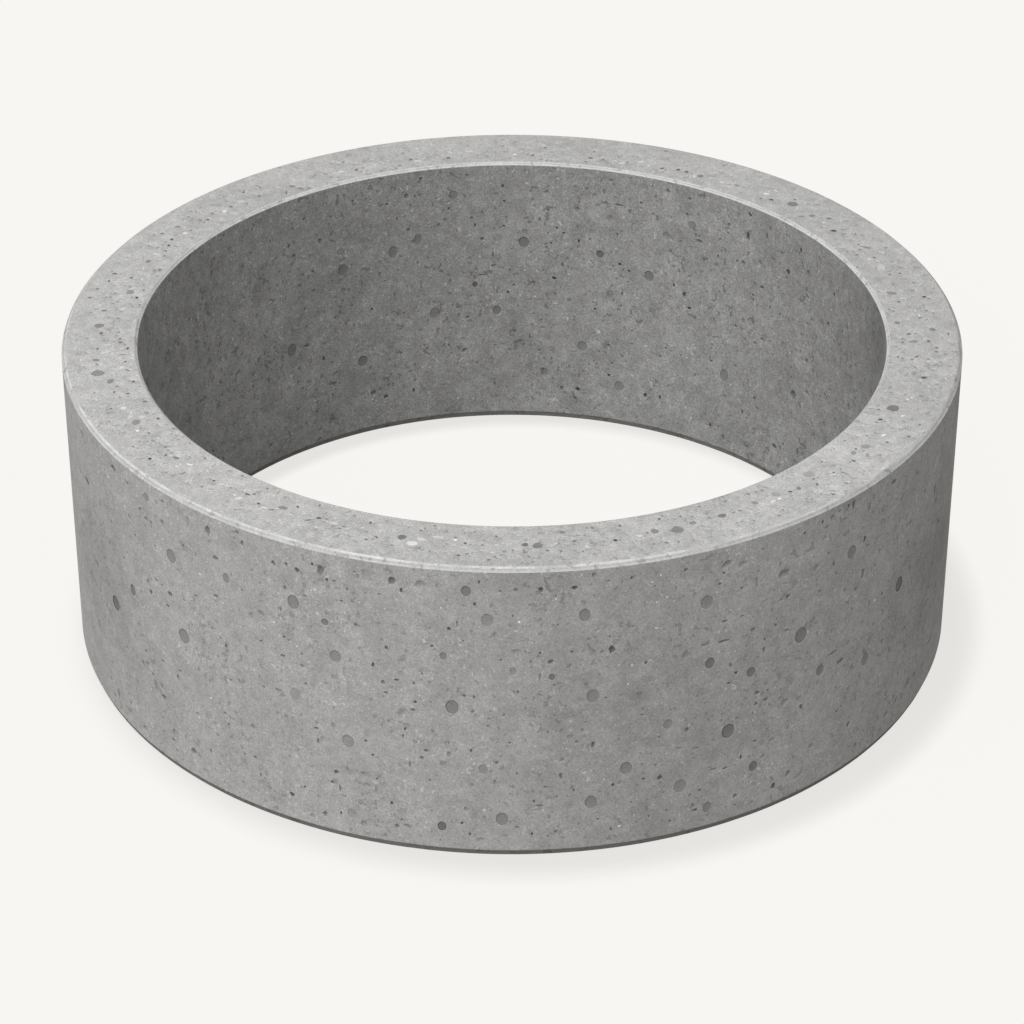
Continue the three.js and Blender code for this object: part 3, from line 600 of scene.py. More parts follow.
# Small torn pits and dashes in the top end.
topPits = [
    (858.5, 244.3, 3, 2, 1.7, -25), (866.5, 247, 10, 1.8, 0.8, -12), (860, 249.3, 3, 1.5, 0.8, 0),
    (857, 254.5, 3, 1.5, 1.0, 0), (886.5, 247.5, 3, 1.5, 0.8, 0), (874.5, 257.5, 3, 1.5, 1.4, 0),
    (874.8, 260, 1.5, 2.2, 0.8, 0), (857.5, 267, 2, 2, 0.8, 0), (900.7, 267, 2, 1.5, 0.8, 0),
    (899.7, 273, 2.5, 1.5, 1.3, 0), (890, 274.3, 3, 1.5, 1.1, 30), (889.5, 271, 5, 1.3, 0.5, 30),
    (882, 279.5, 1.5, 2, 0.9, 0), (914, 282.3, 4, 1.2, 0.8, 0), (913, 290, 3, 1.5, 0.6, 0),
    (878.5, 291.5, 3, 1.2, 0.7, 0), (899, 301.5, 3, 2.5, 1.0, -30), (924.3, 296.7, 3.5, 2, 2.0, 10),
    (929.5, 298, 3, 1.5, 0.6, 0), (889.7, 309.3, 3, 1.3, 1.0, 0), (893.7, 310.7, 2, 2, 1.2, -45),
    (923.5, 305, 2, 1.2, 0.6, 0), (926.5, 310.5, 3, 1.5, 1.1, -20), (933.5, 313, 3, 2.6, 0.5, 0),
    (920.3, 317.7, 3.2, 1.2, 1.0, 20), (926.5, 319.3, 2.5, 1.3, 0.8, 30), (895, 329, 2.5, 1, 0.5, 0),
    (908.8, 333.7, 4.5, 2, 1.2, 10), (916, 333.3, 5, 1.3, 0.4, 0), (948.5, 333.7, 1.7, 2.5, 1.5, 0),
    (902.5, 338.5, 4, 1.2, 0.8, 0), (902.6, 342.2, 2.5, 1.5, 1.3, 0), (928.7, 341, 3, 2, 1.3, 0),
    (942, 338, 2.5, 1, 0.5, 0), (936.7, 347.5, 3, 1.8, 1.4, -20), (896, 346.3, 3, 1.3, 0.6, 20),
    (900, 348.6, 3, 1, 0.6, 0), (899, 260.8, 2, 1.5, 0.5, 0), (936.5, 351.5, 3.5, 1.8, 1.2, -25),
    (898.3, 356.5, 2, 2, 1.1, 0), (902.7, 358.3, 2.3, 1.7, 0.9, 0), (890.3, 362, 2, 1.8, 1.5, 0),
    (917, 356.3, 4.5, 1.5, 1.5, 35), (912.3, 359, 3.2, 1.2, 1.2, 5), (928.5, 358.7, 2.2, 1.5, 1.0, -20),
    (941, 362, 3.5, 1.2, 0.9, -20), (936.3, 364, 4.3, 1.2, 0.6, 20), (928.5, 364, 2, 1.5, 0.5, 0),
    (915, 367, 4.5, 1.3, 1.2, -35), (924.3, 377.2, 6, 2.2, 1.6, 0), (921, 383.2, 3, 1.7, 0.4, 0),
    (937.5, 384, 2, 2, 0.8, -45), (944, 379, 2, 1.5, 0.4, 0), (890, 387.7, 3, 1.3, 1.0, 30),
    (891, 392.3, 3, 1.3, 0.8, 10), (905.3, 394.3, 1.5, 2, 0.6, -45), (921.5, 395.8, 5, 1.4, 1.0, -20),
    (928, 397.9, 3, 1.2, 0.6, -15), (921.5, 391.5, 2, 1, 0.5, 0), (881.7, 398, 2, 1.5, 0.8, -30),
    (879.3, 405, 2, 1.5, 0.5, 40), (878.8, 409.4, 3, 1.5, 1.3, -10), (871.5, 408.3, 6, 1, 0.6, 5),
    (880.7, 419.3, 4.5, 1.8, 1.7, 10), (876.5, 422.1, 3, 1.6, 1.1, 25),
    (885, 421.3, 2.3, 1.2, 0.8, -30), (866.3, 424, 2, 1.5, 0.5, 0), (861.3, 426.5, 2.5, 1.2, 0.5, 0),
    (919.8, 424.4, 3, 1.4, 1.1, 0), (905.6, 428.2, 2.3, 1.6, 0.8, 0), (893.7, 427.5, 2, 1.2, 0.5, 0),
    (908.8, 436.2, 4.5, 1.8, 1.1, 0), (867.2, 435.4, 2.3, 1.5, 0.9, 0), (887.3, 442, 3.3, 1.8, 1.2, 0),
    (864.3, 450.6, 3.5, 1, 0.5, 0), (856, 448.7, 2.5, 1.4, 1.3, 0), (892, 451, 2, 1.5, 0.5, 0),
    (880, 454.5, 3, 1.5, 0.6, 0), (927.5, 413.5, 4, 1.5, 0.3, 0), (112.3, 271.3, 1.5, 2, 0.8, 0),
    (115.2, 273.5, 4.5, 1.8, 1.3, -5), (120.5, 273.5, 3, 2, 1.1, -15), (109, 281, 2.3, 2, 1.2, 0),
    (131.7, 277.5, 3.5, 1.8, 1.3, 15), (97.5, 288.7, 4, 1.8, 0.9, 10), (114.5, 285, 3, 1.2, 0.5, 30),
    (143.5, 284.5, 2, 1.3, 0.6, 30), (143.7, 290, 2.3, 1.8, 0.8, 0), (130.5, 286.5, 3, 2, 0.4, 0),
    (136.8, 297.5, 3, 2, 2.0, 0), (90, 297.3, 3.5, 1.5, 1.0, 0), (106.6, 297, 2.7, 1.7, 0.6, 0),
    (110.6, 297, 2, 1.7, 0.7, 0), (115.5, 293.2, 3, 1.2, 0.6, 0), (142.3, 301.7, 2.5, 1.4, 0.8, -40),
    (140, 304.6, 2.3, 1.5, 0.9, 0), (147.7, 301.5, 2, 1.5, 0.4, 0), (118, 301.5, 3, 1.3, 0.8, 0),
    (113, 303.3, 4, 1.2, 0.5, 15), (104.5, 310.3, 4.5, 2, 1.1, 0), (96, 309.3, 4, 1.4, 0.5, 20),
    (91.5, 312, 3, 1.5, 0.4, 0), (118.5, 318, 2.5, 2, 0.9, 20), (128.8, 320.5, 1.5, 2, 0.4, 45),
    (101.3, 333, 3, 2.4, 1.4, 0), (108, 329, 3.5, 1.2, 0.5, 0), (119, 332, 2.7, 1.5, 0.9, -10),
    (116.5, 335, 3, 1.3, 0.6, -10), (120.3, 338.2, 3.2, 1.5, 1.0, 0), (123.6, 336.5, 1.5, 2.2, 0.6, 0),
    (87.7, 338.4, 2, 1.7, 0.6, 0), (108, 339.5, 2, 1.5, 0.5, 0), (120.3, 342.2, 4.5, 1.4, 1.4, -5),
    (124.9, 344.2, 2.6, 1.4, 1.4, -45), (127.7, 348.2, 2.5, 2.2, 1.7, 0), (97.7, 348.7, 2.3, 2, 1.2, 0),
    (123, 354.3, 7, 1.3, 0.8, 0), (86, 352.5, 3.5, 1.3, 0.5, -35), (95.5, 359.8, 6.5, 1.9, 1.1, -5),
    (125.3, 361.3, 2.7, 1.7, 1.4, 0), (154.7, 270.5, 2.7, 1.4, 0.7, 0),
    (159.8, 269.4, 3.3, 1.8, 1.3, 15), (157.3, 275.7, 3.5, 1.2, 0.6, 30), (111, 331, 2, 1.2, 0.4, 0),
    (97.3, 364.3, 3, 1.7, 0.8, -30), (84, 366.7, 2.5, 1.5, 0.5, 0), (127.7, 369.8, 4, 1.7, 1.1, -25),
    (129.7, 380, 2.2, 1, 0.7, -15), (133.2, 381.3, 2.3, 1.9, 1.7, -10),
    (117.5, 386.2, 3.3, 1.7, 0.9, 15), (114.4, 392, 2.5, 2, 1.4, 0), (127.8, 393.3, 3.7, 1.7, 1.1, -5),
    (128.7, 396.5, 2.3, 1, 0.5, 45), (94.8, 392.3, 2, 2, 0.6, -40), (120, 397, 3.5, 1.5, 1.2, -60),
    (107.3, 409.7, 2.8, 1.5, 1.1, 35), (111, 408.5, 2.3, 1.7, 1.2, -30),
    (145.3, 401.4, 5.5, 1.5, 1.3, 0), (143.5, 398.8, 3, 1.1, 0.7, 45), (146.5, 412.3, 5, 1.8, 0.5, 0),
    (154, 414, 3, 1.3, 0.5, 40), (109.5, 421.3, 2.3, 1.5, 0.7, 0), (158.1, 418.3, 2.8, 1.8, 1.6, 0),
    (157.5, 425, 2.5, 1.3, 0.4, 0), (172.7, 424.3, 4, 1.2, 0.8, 0), (173.5, 428.2, 2.5, 1.6, 1.1, 0),
    (149, 433, 3.5, 1.8, 1.3, -50), (145.5, 438, 2.5, 1.3, 0.5, -40), (147.5, 441, 3.3, 1.3, 0.6, 10),
    (153.5, 440.6, 5.5, 1.5, 0.9, -25), (159.2, 442.6, 2.3, 1.3, 0.6, 0),
    (162, 444.7, 2.2, 1.2, 0.5, -20), (165.3, 446.7, 2.7, 2, 1.3, -35),
    (133.3, 446.3, 2.7, 1.6, 0.8, 0), (166, 454.9, 3.3, 1.8, 1.2, 0),
    (168.5, 450.3, 2.5, 1.5, 0.6, -30), (149.9, 458.4, 3, 2.2, 1.9, 0), (176, 457.5, 5, 2.3, 1.1, -18),
    (177, 435.5, 4, 1.2, 0.5, 0), (178.5, 439.5, 2, 1.3, 0.9, 30), (173, 452.3, 2.5, 1.2, 0.4, -30),
    (190, 443.3, 3.5, 1.3, 0.9, -40), (205.3, 458.4, 2.3, 1.6, 1.1, 20),
    (166.7, 472, 2.5, 1.5, 0.7, 20), (183, 473, 6, 1.4, 0.9, 20), (173.5, 475.2, 6, 1.2, 0.5, 0),
    (214, 465.3, 5.5, 1.2, 0.5, 30), (219.7, 461.6, 2.8, 1.3, 0.6, 25), (230, 470.6, 4.5, 1.4, 0.7, 0),
    (242.5, 475.7, 2.7, 1.5, 1.1, -10), (200, 473.5, 4, 1.2, 0.5, 30), (211, 479.1, 1.8, 1.2, 0.8, 0),
    (213.9, 480.6, 2.5, 1.9, 1.7, 20), (202.2, 486.3, 2.7, 1.5, 0.8, 10),
    (224.7, 486.4, 5, 1, 0.6, -15), (230.5, 487.6, 4.5, 1.1, 0.8, 0), (236.3, 488.8, 5, 1, 0.6, -12),
    (211, 489, 5, 1.2, 0.4, -5), (243.7, 491.5, 3, 1.6, 1.2, -40), (247.7, 494, 4.8, 2.6, 1.4, -25),
    (254.4, 493.9, 3, 1.8, 1.2, 15), (267.5, 488.3, 2.5, 2.3, 0.9, 0), (276, 488.5, 5, 1.4, 0.6, 25),
    (285.5, 497, 3, 1.5, 0.7, 20), (258.7, 503.3, 3, 1.6, 1.7, 0), (272, 509.5, 3.7, 1.8, 1.0, 15),
    (251, 510.5, 2, 1.5, 0.5, 30), (297.7, 506.6, 3, 1.9, 1.4, 0), (320, 505.3, 2, 2, 1.2, 0),
    (326.5, 512.5, 1.8, 1.5, 0.6, 0), (355, 515.5, 2.5, 1.5, 0.8, 0), (350, 510.9, 2.5, 1.2, 0.5, 0),
    (319, 517.9, 4.5, 2, 1.6, -15), (323.2, 517.1, 2, 1.2, 0.9, 20), (326.9, 518.8, 2.8, 1.3, 1.1, -15),
    (324.7, 521.5, 2.2, 1.5, 0.7, -20), (308.5, 519.8, 7.5, 1.5, 1.1, 8),
    (313.7, 521.2, 2.5, 1.1, 0.8, -30), (333.5, 526, 4.3, 1.5, 0.9, 0),
    (340, 525.3, 3.2, 1.7, 1.2, -20), (344, 526.4, 2.5, 1.5, 1.2, -20),
    (339, 528.1, 3.5, 1.3, 1.0, -10), (315.7, 529, 4, 1.6, 0.5, 0), (322.8, 531, 2, 1.5, 0.5, -40),
    (370.6, 522.6, 2.3, 1.7, 1.8, 0), (374.6, 523.2, 3.3, 1, 0.6, 10), (387.3, 520.7, 2, 1.5, 0.8, 0),
    (366, 531.3, 5, 1.3, 0.7, -20), (376.5, 536.8, 3, 2, 1.6, -40), (373, 538.8, 4.3, 1.7, 0.6, 10),
    (366.2, 539.2, 2.3, 2, 1.3, 20), (355, 540.3, 3, 1.2, 0.6, 10), (392, 545, 2.7, 1.6, 0.8, -10),
    (388, 537, 6, 1.3, 0.3, 0), (409, 527, 2.5, 2, 0.3, 0), (419.6, 547.6, 2.5, 1.7, 0.9, 0),
    (421.3, 530.3, 2.7, 2, 1.1, 20), (425.3, 528.3, 2, 1.7, 0.7, 0), (435.2, 525.7, 2.3, 1.6, 1.0, 0),
    (436.5, 528.3, 1.5, 1.8, 0.4, 0), (446.7, 530.7, 2.5, 1.6, 0.9, 0), (464.8, 533, 2.2, 2, 0.6, 0),
    (471.3, 532.7, 2.3, 1.3, 0.7, 0), (474.6, 531.7, 2.3, 1.4, 0.9, 0), (455.7, 537.2, 3, 1.3, 0.9, 0),
    (442.8, 541, 3, 1.2, 0.6, 0), (446.5, 543.7, 3, 1.6, 0.7, 0), (444.2, 545.7, 2.3, 1.3, 0.6, 0),
    (465.2, 543, 2.8, 2, 1.5, 0), (462, 544.7, 2, 1.2, 0.5, 0), (470.5, 544.5, 2.5, 1.2, 0.6, 10),
    (479, 540.5, 2, 1.3, 0.4, -40), (482.7, 544.9, 3.5, 1.6, 1.1, -15),
    (496.6, 536.3, 2.4, 2.1, 1.3, -40), (500.6, 538.3, 3.5, 1, 0.5, -10), (430, 551.3, 2, 2, 0.5, 0),
    (458.4, 555.1, 3, 1.9, 1.4, 0), (467, 553.5, 4, 1.7, 0.9, 10), (472.5, 552.3, 2, 1.5, 0.6, 30),
    (454.2, 557.3, 2, 2, 0.5, 0), (488.8, 559.6, 3.5, 1.8, 1.1, 10), (495, 556.8, 3, 1.7, 0.9, 20),
    (504.7, 550.7, 3.5, 1.4, 0.6, -10), (513.3, 549.8, 2.2, 2, 0.7, 0),
    (502.3, 554.7, 2.7, 1.5, 0.6, -10), (529.3, 556.4, 2.2, 2, 0.8, 0), (540, 557.3, 3, 2, 0.3, 0),
    (547.6, 550.4, 3.3, 1.5, 1.2, 0), (526, 539.5, 3, 1.2, 0.4, 0), (587.4, 527.5, 2.3, 1.5, 0.7, -30),
    (592.4, 527.7, 3, 2.1, 1.1, 20), (596.3, 526.7, 2.7, 1.1, 0.4, 20), (562, 526.8, 3, 1.1, 0.4, 0),
    (574.3, 540.8, 3, 2, 1.3, -20), (574.3, 544, 3, 1.3, 0.6, 0), (592, 543, 3, 1.6, 0.8, 0),
    (615.4, 540, 3.5, 2.2, 2.2, -20), (604, 541, 3, 2, 0.6, 0), (607, 537, 3, 1.4, 0.3, 0),
    (620, 540.3, 2, 1.4, 0.5, 0), (616.1, 525.8, 2.5, 1.4, 1.0, 10), (620, 525.6, 3.3, 1.7, 1.3, -15),
    (619.5, 529.5, 4, 1.5, 0.4, 0), (561.4, 551.3, 2.5, 1.7, 0.9, 0), (561.3, 557, 2.5, 1.5, 0.7, 0),
    (575.3, 550.2, 2.5, 1.2, 0.6, -20), (578.7, 552.3, 2.4, 1.2, 0.5, -20),
    (582.8, 551.2, 2, 1.8, 0.9, 30), (595, 553.7, 3.5, 1.5, 0.5, 0), (600, 550, 2, 1.5, 0.5, 0),
    (578, 535, 4, 1.4, 0.4, 0), (584.7, 535, 2, 2.3, 0.4, 0), (642, 520.3, 2, 2.3, 0.4, 0),
    (659.2, 518.8, 2.8, 2, 1.3, 0), (662.5, 515.7, 2, 2.2, 0.9, -45), (665.7, 516.6, 2, 1, 0.4, 0),
    (680.6, 516.2, 2.7, 1.8, 1.1, 0), (675.2, 519, 3.3, 1.2, 0.5, 25), (692.7, 516.5, 3.3, 1.4, 0.9, 0),
    (688.3, 515.2, 2.7, 1, 0.5, -20), (647.6, 532.6, 3.2, 1.6, 1.1, 15),
    (666.7, 542.5, 4.3, 1.6, 1.2, -15), (661.5, 541, 4, 1, 0.6, -15), (670.5, 544.2, 2.5, 1, 0.5, -25),
    (678.6, 541.6, 2.2, 2, 0.8, 0), (634.5, 546.5, 2.5, 1.3, 0.5, 0), (642, 549.5, 2.5, 1.3, 0.5, 0),
    (654.5, 543.5, 3, 1.7, 0.6, 0), (693.5, 539.5, 2.5, 1.4, 0.5, 0), (699, 506.6, 4.5, 1.6, 0.9, 10),
    (705.7, 505.5, 4, 1, 0.4, 0), (720, 498.9, 2.7, 1.6, 1.2, -35), (725, 500.7, 5.5, 1.6, 0.5, -10),
    (738, 497, 2, 2, 0.4, 0), (744.7, 494.4, 2.3, 1.3, 0.8, 15), (748.3, 493.8, 3.3, 1.7, 1.1, -15),
    (756.3, 491.5, 2.5, 1.4, 1.0, -15), (762, 490, 4, 1.4, 0.8, 5), (760, 485, 2.5, 1.2, 0.4, -20),
    (765.5, 487, 5.5, 1.2, 0.5, -15), (733.8, 512.2, 3.8, 1.8, 0.9, 30),
    (740.3, 510.4, 4.3, 1.8, 0.9, 10), (709.3, 517.4, 3.5, 1.3, 0.8, 0), (737.3, 522.7, 3, 1, 0.6, 15),
    (742.5, 521, 4.3, 1, 0.6, 10), (754.5, 520.5, 3.5, 1.3, 0.9, -30), (750.2, 519.6, 2, 1, 0.6, 0),
    (753.5, 523, 2.7, 1, 0.5, 0), (702, 521, 2.7, 1.8, 0.3, -30), (721, 523.7, 2.3, 1.3, 0.5, 0),
    (732.2, 530.2, 2.7, 1.4, 0.6, 0), (779.3, 515, 2.3, 1.6, 0.8, 0), (783.2, 509.6, 2.7, 1.5, 0.8, 0),
    (788.2, 510.5, 3, 1, 0.4, 0), (770.5, 517, 2, 1, 0.4, 0), (782.5, 476.3, 3.5, 1.3, 0.8, 40),
    (790.3, 491.5, 4, 1.7, 1.7, 5), (794.5, 489.2, 3.2, 1.1, 0.4, 30),
    (813.7, 478.7, 3.7, 1.7, 1.7, 10), (818.3, 477.6, 2.3, 1.4, 0.6, 0), (817.2, 484, 2.3, 2.6, 1.3, 0),
    (816.7, 480.8, 1, 2.2, 0.5, 0), (812.3, 491.3, 2, 2, 0.4, 0), (821.2, 493.7, 2.8, 1.3, 0.7, 0),
    (817, 492.7, 3.7, 1, 0.4, -15), (825, 494.5, 3, 1, 0.5, -15), (806.8, 498.6, 2, 1.8, 0.7, 0),
    (812.3, 498.8, 3, 1.7, 0.6, 0), (793, 498.7, 2, 1.7, 0.4, 0), (848.3, 434, 1.7, 1.7, 0.5, 0),
    (849, 437.5, 2, 1.8, 0.3, 0), (845.3, 440.3, 3, 1.4, 0.8, 0), (834, 448.3, 2, 2.3, 0.6, -60),
    (831.3, 449.8, 1.7, 1.3, 0.4, 0), (849.9, 462, 2.3, 1.6, 1.4, 30),
    (853.7, 460.6, 4.5, 1.9, 1.3, -8), (857.9, 463.1, 2.3, 1.1, 0.5, -30),
    (821.7, 461.6, 2.7, 1.6, 1.1, 15), (833.8, 472.3, 2.5, 1.5, 1.3, -10), (840.7, 469, 2, 2, 0.7, 0),
    (843, 472.1, 4.5, 1.5, 0.7, -5), (848, 473.5, 3.7, 1.1, 0.4, -10), (843, 475.9, 3, 1.2, 0.5, -30),
    (854.5, 477.7, 7, 1.2, 0.5, 0), (848.7, 478.2, 3, 1.2, 0.4, 0), (846, 483, 5, 1.4, 1.0, -15),
    (834.3, 490.5, 3, 1.3, 0.7, 0), (833.3, 494, 4.7, 1.5, 1.3, -15), (864.5, 470.7, 2, 1.7, 0.4, 0),
    (240.2, 190.2, 2.7, 1.2, 0.8, -30), (243.6, 192.2, 2.3, 1.8, 1.4, 0),
    (244.3, 189.8, 2.3, 1.2, 0.7, 0), (257.3, 185.4, 2.5, 1.2, 0.8, -20),
    (260.3, 186.8, 2.5, 1.4, 1.1, -10), (259.2, 195.8, 2.8, 1.7, 1.3, 25),
    (263.5, 193.9, 5, 1, 0.4, 25), (247, 203.3, 2.7, 1.7, 0.9, -20), (226.7, 200.8, 3, 1.2, 0.5, 0),
    (231.2, 206.5, 3.8, 1.6, 1.3, 0), (225.7, 205.4, 4.5, 1, 0.5, -10),
    (273.3, 201.5, 2.5, 1.5, 1.1, 0), (277.7, 201.5, 3.3, 1.6, 1.3, 0),
    (286.5, 192.5, 1.5, 2.8, 1.4, 0), (292.5, 186, 6.3, 1.5, 1.2, -8),
    (191.7, 211.5, 2.2, 1.9, 0.8, -45), (196, 211.7, 2.2, 1.9, 0.9, -40),
    (188.8, 216.7, 2.3, 1.9, 0.9, -45), (212.5, 213.3, 2.7, 1.6, 1.1, 0),
    (200.4, 220.1, 4, 2.1, 0.8, 0), (204.3, 222, 3.7, 1.7, 0.8, 15), (207.8, 219.5, 2.9, 1.8, 1.7, 20),
    (242.5, 213.7, 5.3, 1, 0.8, -8), (223.5, 222, 2.8, 1.2, 0.5, 10), (229, 220.8, 5.5, 1, 0.4, -5),
    (177.7, 226.7, 6, 1.4, 1.1, 0), (173, 225.3, 2, 1, 0.5, -30), (191, 230.2, 2.2, 1.5, 0.9, 30),
    (192, 237.7, 2.5, 1.3, 0.9, 20), (162.5, 233.4, 3.3, 1.6, 1.3, -10),
    (154.5, 234.5, 3.3, 1.3, 0.6, 0), (171.8, 239.2, 3.3, 1.9, 1.7, 0), (165.7, 242.3, 2, 1.4, 0.8, 30),
    (163.2, 244.5, 3, 1.4, 0.6, 30), (169, 245.1, 2.7, 1.8, 1.8, 10), (149, 245.2, 3, 1.3, 0.6, 0),
    (176, 246.3, 3.3, 1.3, 0.6, -15), (158, 247.3, 3.5, 1.3, 0.6, 0), (141, 246.7, 2, 1.4, 0.6, 0),
    (165.5, 250.5, 3.3, 1.4, 1.1, 0), (161.7, 255.8, 2.5, 1.3, 0.9, 0),
    (164.9, 255.6, 2.5, 1.2, 0.9, 0), (178, 255, 5.5, 1, 0.4, -10), (187, 248.3, 2, 1.2, 0.4, 0),
    (301.5, 188.2, 5.5, 1.7, 1.1, -15), (309, 187.8, 4.7, 1.5, 0.9, -5), (322, 186.7, 2.3, 1.4, 0.5, 0),
    (326.5, 186.3, 2.1, 1.7, 1.0, 0), (331.5, 177, 4.3, 1.8, 0.35, 20),
    (331.5, 163.7, 2.2, 1.5, 0.5, 0), (338.7, 164.5, 2, 1.2, 0.4, 0), (343.2, 162.2, 2, 1.8, 0.9, 0),
    (356.5, 169.6, 3.3, 1.9, 1.3, 0), (363, 167.9, 1.8, 1.7, 0.7, 0), (361.3, 171.2, 2, 1.2, 0.9, 20),
    (347.7, 179, 2.5, 1.8, 1.4, 10), (369, 158.6, 2.5, 1.2, 0.6, 0), (364, 160.9, 4.3, 1.2, 0.5, 20),
    (403.5, 153, 3.5, 1.5, 0.8, 15), (400.2, 165.4, 2.3, 1.6, 1.1, -20),
    (396.8, 168.2, 2.8, 1.7, 0.6, 0), (386, 168.7, 1.7, 1.5, 0.5, 0), (386, 175, 2, 1.2, 0.5, 0),
    (408.7, 167.7, 2.2, 1.5, 0.9, 0), (412.3, 171.3, 2.8, 1.4, 0.7, 0), (410.9, 159, 4, 1.7, 1.2, 10),
    (416.5, 158.7, 4, 1.1, 0.8, 10), (432, 165.6, 2.2, 1.6, 1.0, 0), (436.5, 151, 3, 1.4, 0.4, 0),
    (438, 154.5, 6.5, 1.1, 0.4, -25), (448.3, 157.7, 3.7, 1.7, 1.5, 0), (444.3, 159, 3.2, 1.1, 0.9, 20),
    (452.7, 159, 4, 1.1, 0.8, -15), (461, 162.5, 2.7, 1.4, 1.2, 10), (472.3, 163.3, 2.2, 1.2, 0.6, 30),
    (477.7, 154.6, 2.2, 1.4, 0.5, 0), (487.5, 155.5, 3, 1.4, 0.7, 0),
    (487.5, 161.7, 3.5, 1.2, 0.5, -20), (480.5, 158, 3, 1, 0.4, 0), (502.8, 145.9, 3.3, 1.3, 0.7, 0),
    (507.9, 162, 2, 1.1, 0.5, -40), (510, 157.3, 3, 1.3, 0.3, 0), (528, 154.1, 3.8, 1.5, 1.2, 0),
    (532.8, 155, 3.5, 1.7, 1.3, -5), (541, 158.9, 4.7, 1.1, 0.8, 0), (541.5, 156, 3, 1, 0.4, 0),
    (545.2, 147.5, 2.8, 1.5, 1.2, 0), (547, 160, 2.5, 1.5, 1.1, 30), (551.7, 160.4, 2.2, 1.1, 0.8, -20),
    (569, 162.3, 4, 1.2, 0.7, -40), (565.5, 160, 1.8, 1, 0.5, 0), (590.5, 157.6, 4.2, 1.7, 1.3, -8),
    (594.3, 151.5, 2.3, 1.3, 0.9, 0), (585.7, 161.2, 3.5, 1.4, 0.9, -5),
    (588.5, 165, 4.5, 1.3, 0.9, -5), (603, 159.6, 2.3, 1.4, 1.4, 0), (605.9, 161, 1.8, 1, 0.7, -20),
    (608, 163, 2.1, 1.1, 0.7, 0), (637.8, 156.5, 2.5, 1.4, 0.4, 0), (627.8, 162, 3, 1.4, 0.9, 5),
    (641.7, 171.7, 2.3, 1.4, 0.6, 0), (662.3, 168.2, 3.6, 1.5, 1.6, 0),
    (665.8, 169.7, 1.6, 1.3, 1.2, -40), (662.5, 171.7, 3.3, 1, 0.5, 0), (657, 176, 2.3, 1.5, 0.9, 0),
    (636.5, 174.2, 2.5, 1.3, 0.5, 0), (678.3, 169.5, 3.8, 1.7, 1.7, 0), (686.9, 171.7, 3, 1.6, 1.6, 0),
    (691.2, 172.9, 3.5, 1, 0.9, -10), (708.5, 174.3, 4.5, 1.7, 0.3, 0), (687, 177.3, 5, 1.4, 0.3, 0),
    (715.5, 174.3, 4.5, 1.2, 0.4, 0), (721.5, 172.6, 4, 1.3, 0.5, 0),
    (736.7, 184.9, 4.7, 1.4, 0.9, -15), (730, 184.2, 4.5, 1, 0.5, 5), (723.5, 186.9, 3.5, 1.1, 0.5, 0),
    (716.7, 189.5, 2.8, 1.2, 0.6, 30), (733, 176.5, 3, 1.4, 0.3, 0), (761, 198.3, 3, 1.6, 0.9, 0),
    (771.5, 199.5, 3.8, 1.8, 1.7, -15), (795, 199.4, 2.2, 1.6, 1.1, 0),
    (799.2, 205.2, 2.7, 1.2, 0.7, 10), (818, 204.3, 5, 1.4, 0.5, 0), (808, 203.7, 2, 1.5, 0.4, 0),
    (801.5, 216.3, 5.3, 1.5, 0.9, -3), (829.3, 218.3, 4.5, 1.8, 1.3, 0),
    (833.7, 230.5, 6.3, 1.9, 2.0, -5), (843.5, 229.3, 5.5, 1.4, 0.45, 0),
    (844, 233.4, 5.5, 1.7, 0.5, 0), (845.5, 220.5, 4.5, 1.5, 0.4, 0), (821.5, 236.7, 7.5, 1.2, 0.6, 5),
    (855.7, 233.7, 2.3, 1.7, 0.8, 0), (851.5, 240, 3, 1.2, 0.5, -10), (842.5, 248.5, 7, 1.3, 0.35, 0),
    (847.5, 251.3, 2.3, 1.6, 0.8, 0), (853, 251, 3.5, 1.2, 0.5, -20), (857.7, 258, 2, 1.5, 0.4, 0),
]


def makeMark(u, v, across, along, depth, tone, steps, corners, ragged=0.0, turn=0.0):
    return {
        "u": u, "v": v, "across": across, "along": along, "depth": depth, "tone": tone,
        "steps": steps, "corners": corners, "ragged": ragged, "turn": turn,
    }


def wallMark(radius, far, row, cut):
    # a mark on a wall, from its place and size in the image
    x, y, width, height, tone = row
    middle = hitWall(x, y, radius, far)
    left, right = (bearingOf(hitWall(x + side * width / 2, y, radius, far)) for side in (-1, 1))
    below, above = (hitWall(x, y + side * height / 2, radius, far).z for side in (1, -1))
    across = abs(math.remainder(right - left, 2 * math.pi)) / 2 * radius
    along = (above - below) / 2
    across, along, tone = across * cut["size"], along * cut["size"], tone * cut["tone"]
    depth = cut["depth"] * min(across, along) * min(1.0, abs(tone))
    return makeMark(bearingOf(middle), middle.z, across, along, depth, tone, **cut["kind"])


def topMark(row, cut):
    # a mark in the top end, whose row also says how far it is turned in the image, in degrees
    x, y, width, height, tone, turn = row
    middle = hitTop(x, y)
    lean = Vector((math.cos(math.radians(turn)), -math.sin(math.radians(turn))))
    ends = [hitTop(x + side * lean.x * width / 2, y + side * lean.y * width / 2) for side in (-1, 1)]
    long = ends[1] - ends[0]
    deep = hitTop(x, y + height / 2) - hitTop(x, y - height / 2)
    across = long.length / 2 * cut["size"]
    along = abs(long.normalized().cross(deep).z) / 2 * cut["size"]
    bearing = bearingOf(middle)
    onTop = math.atan2(long.y, long.x)
    depth = cut["depth"] * min(across, along)
    radius = math.hypot(middle.x, middle.y)
    tone = tone * cut["tone"] + cut.get("least", 0.0)
    return makeMark(bearing, radius, across, along, depth, tone, turn=bearing - onTop, **cut["kind"])


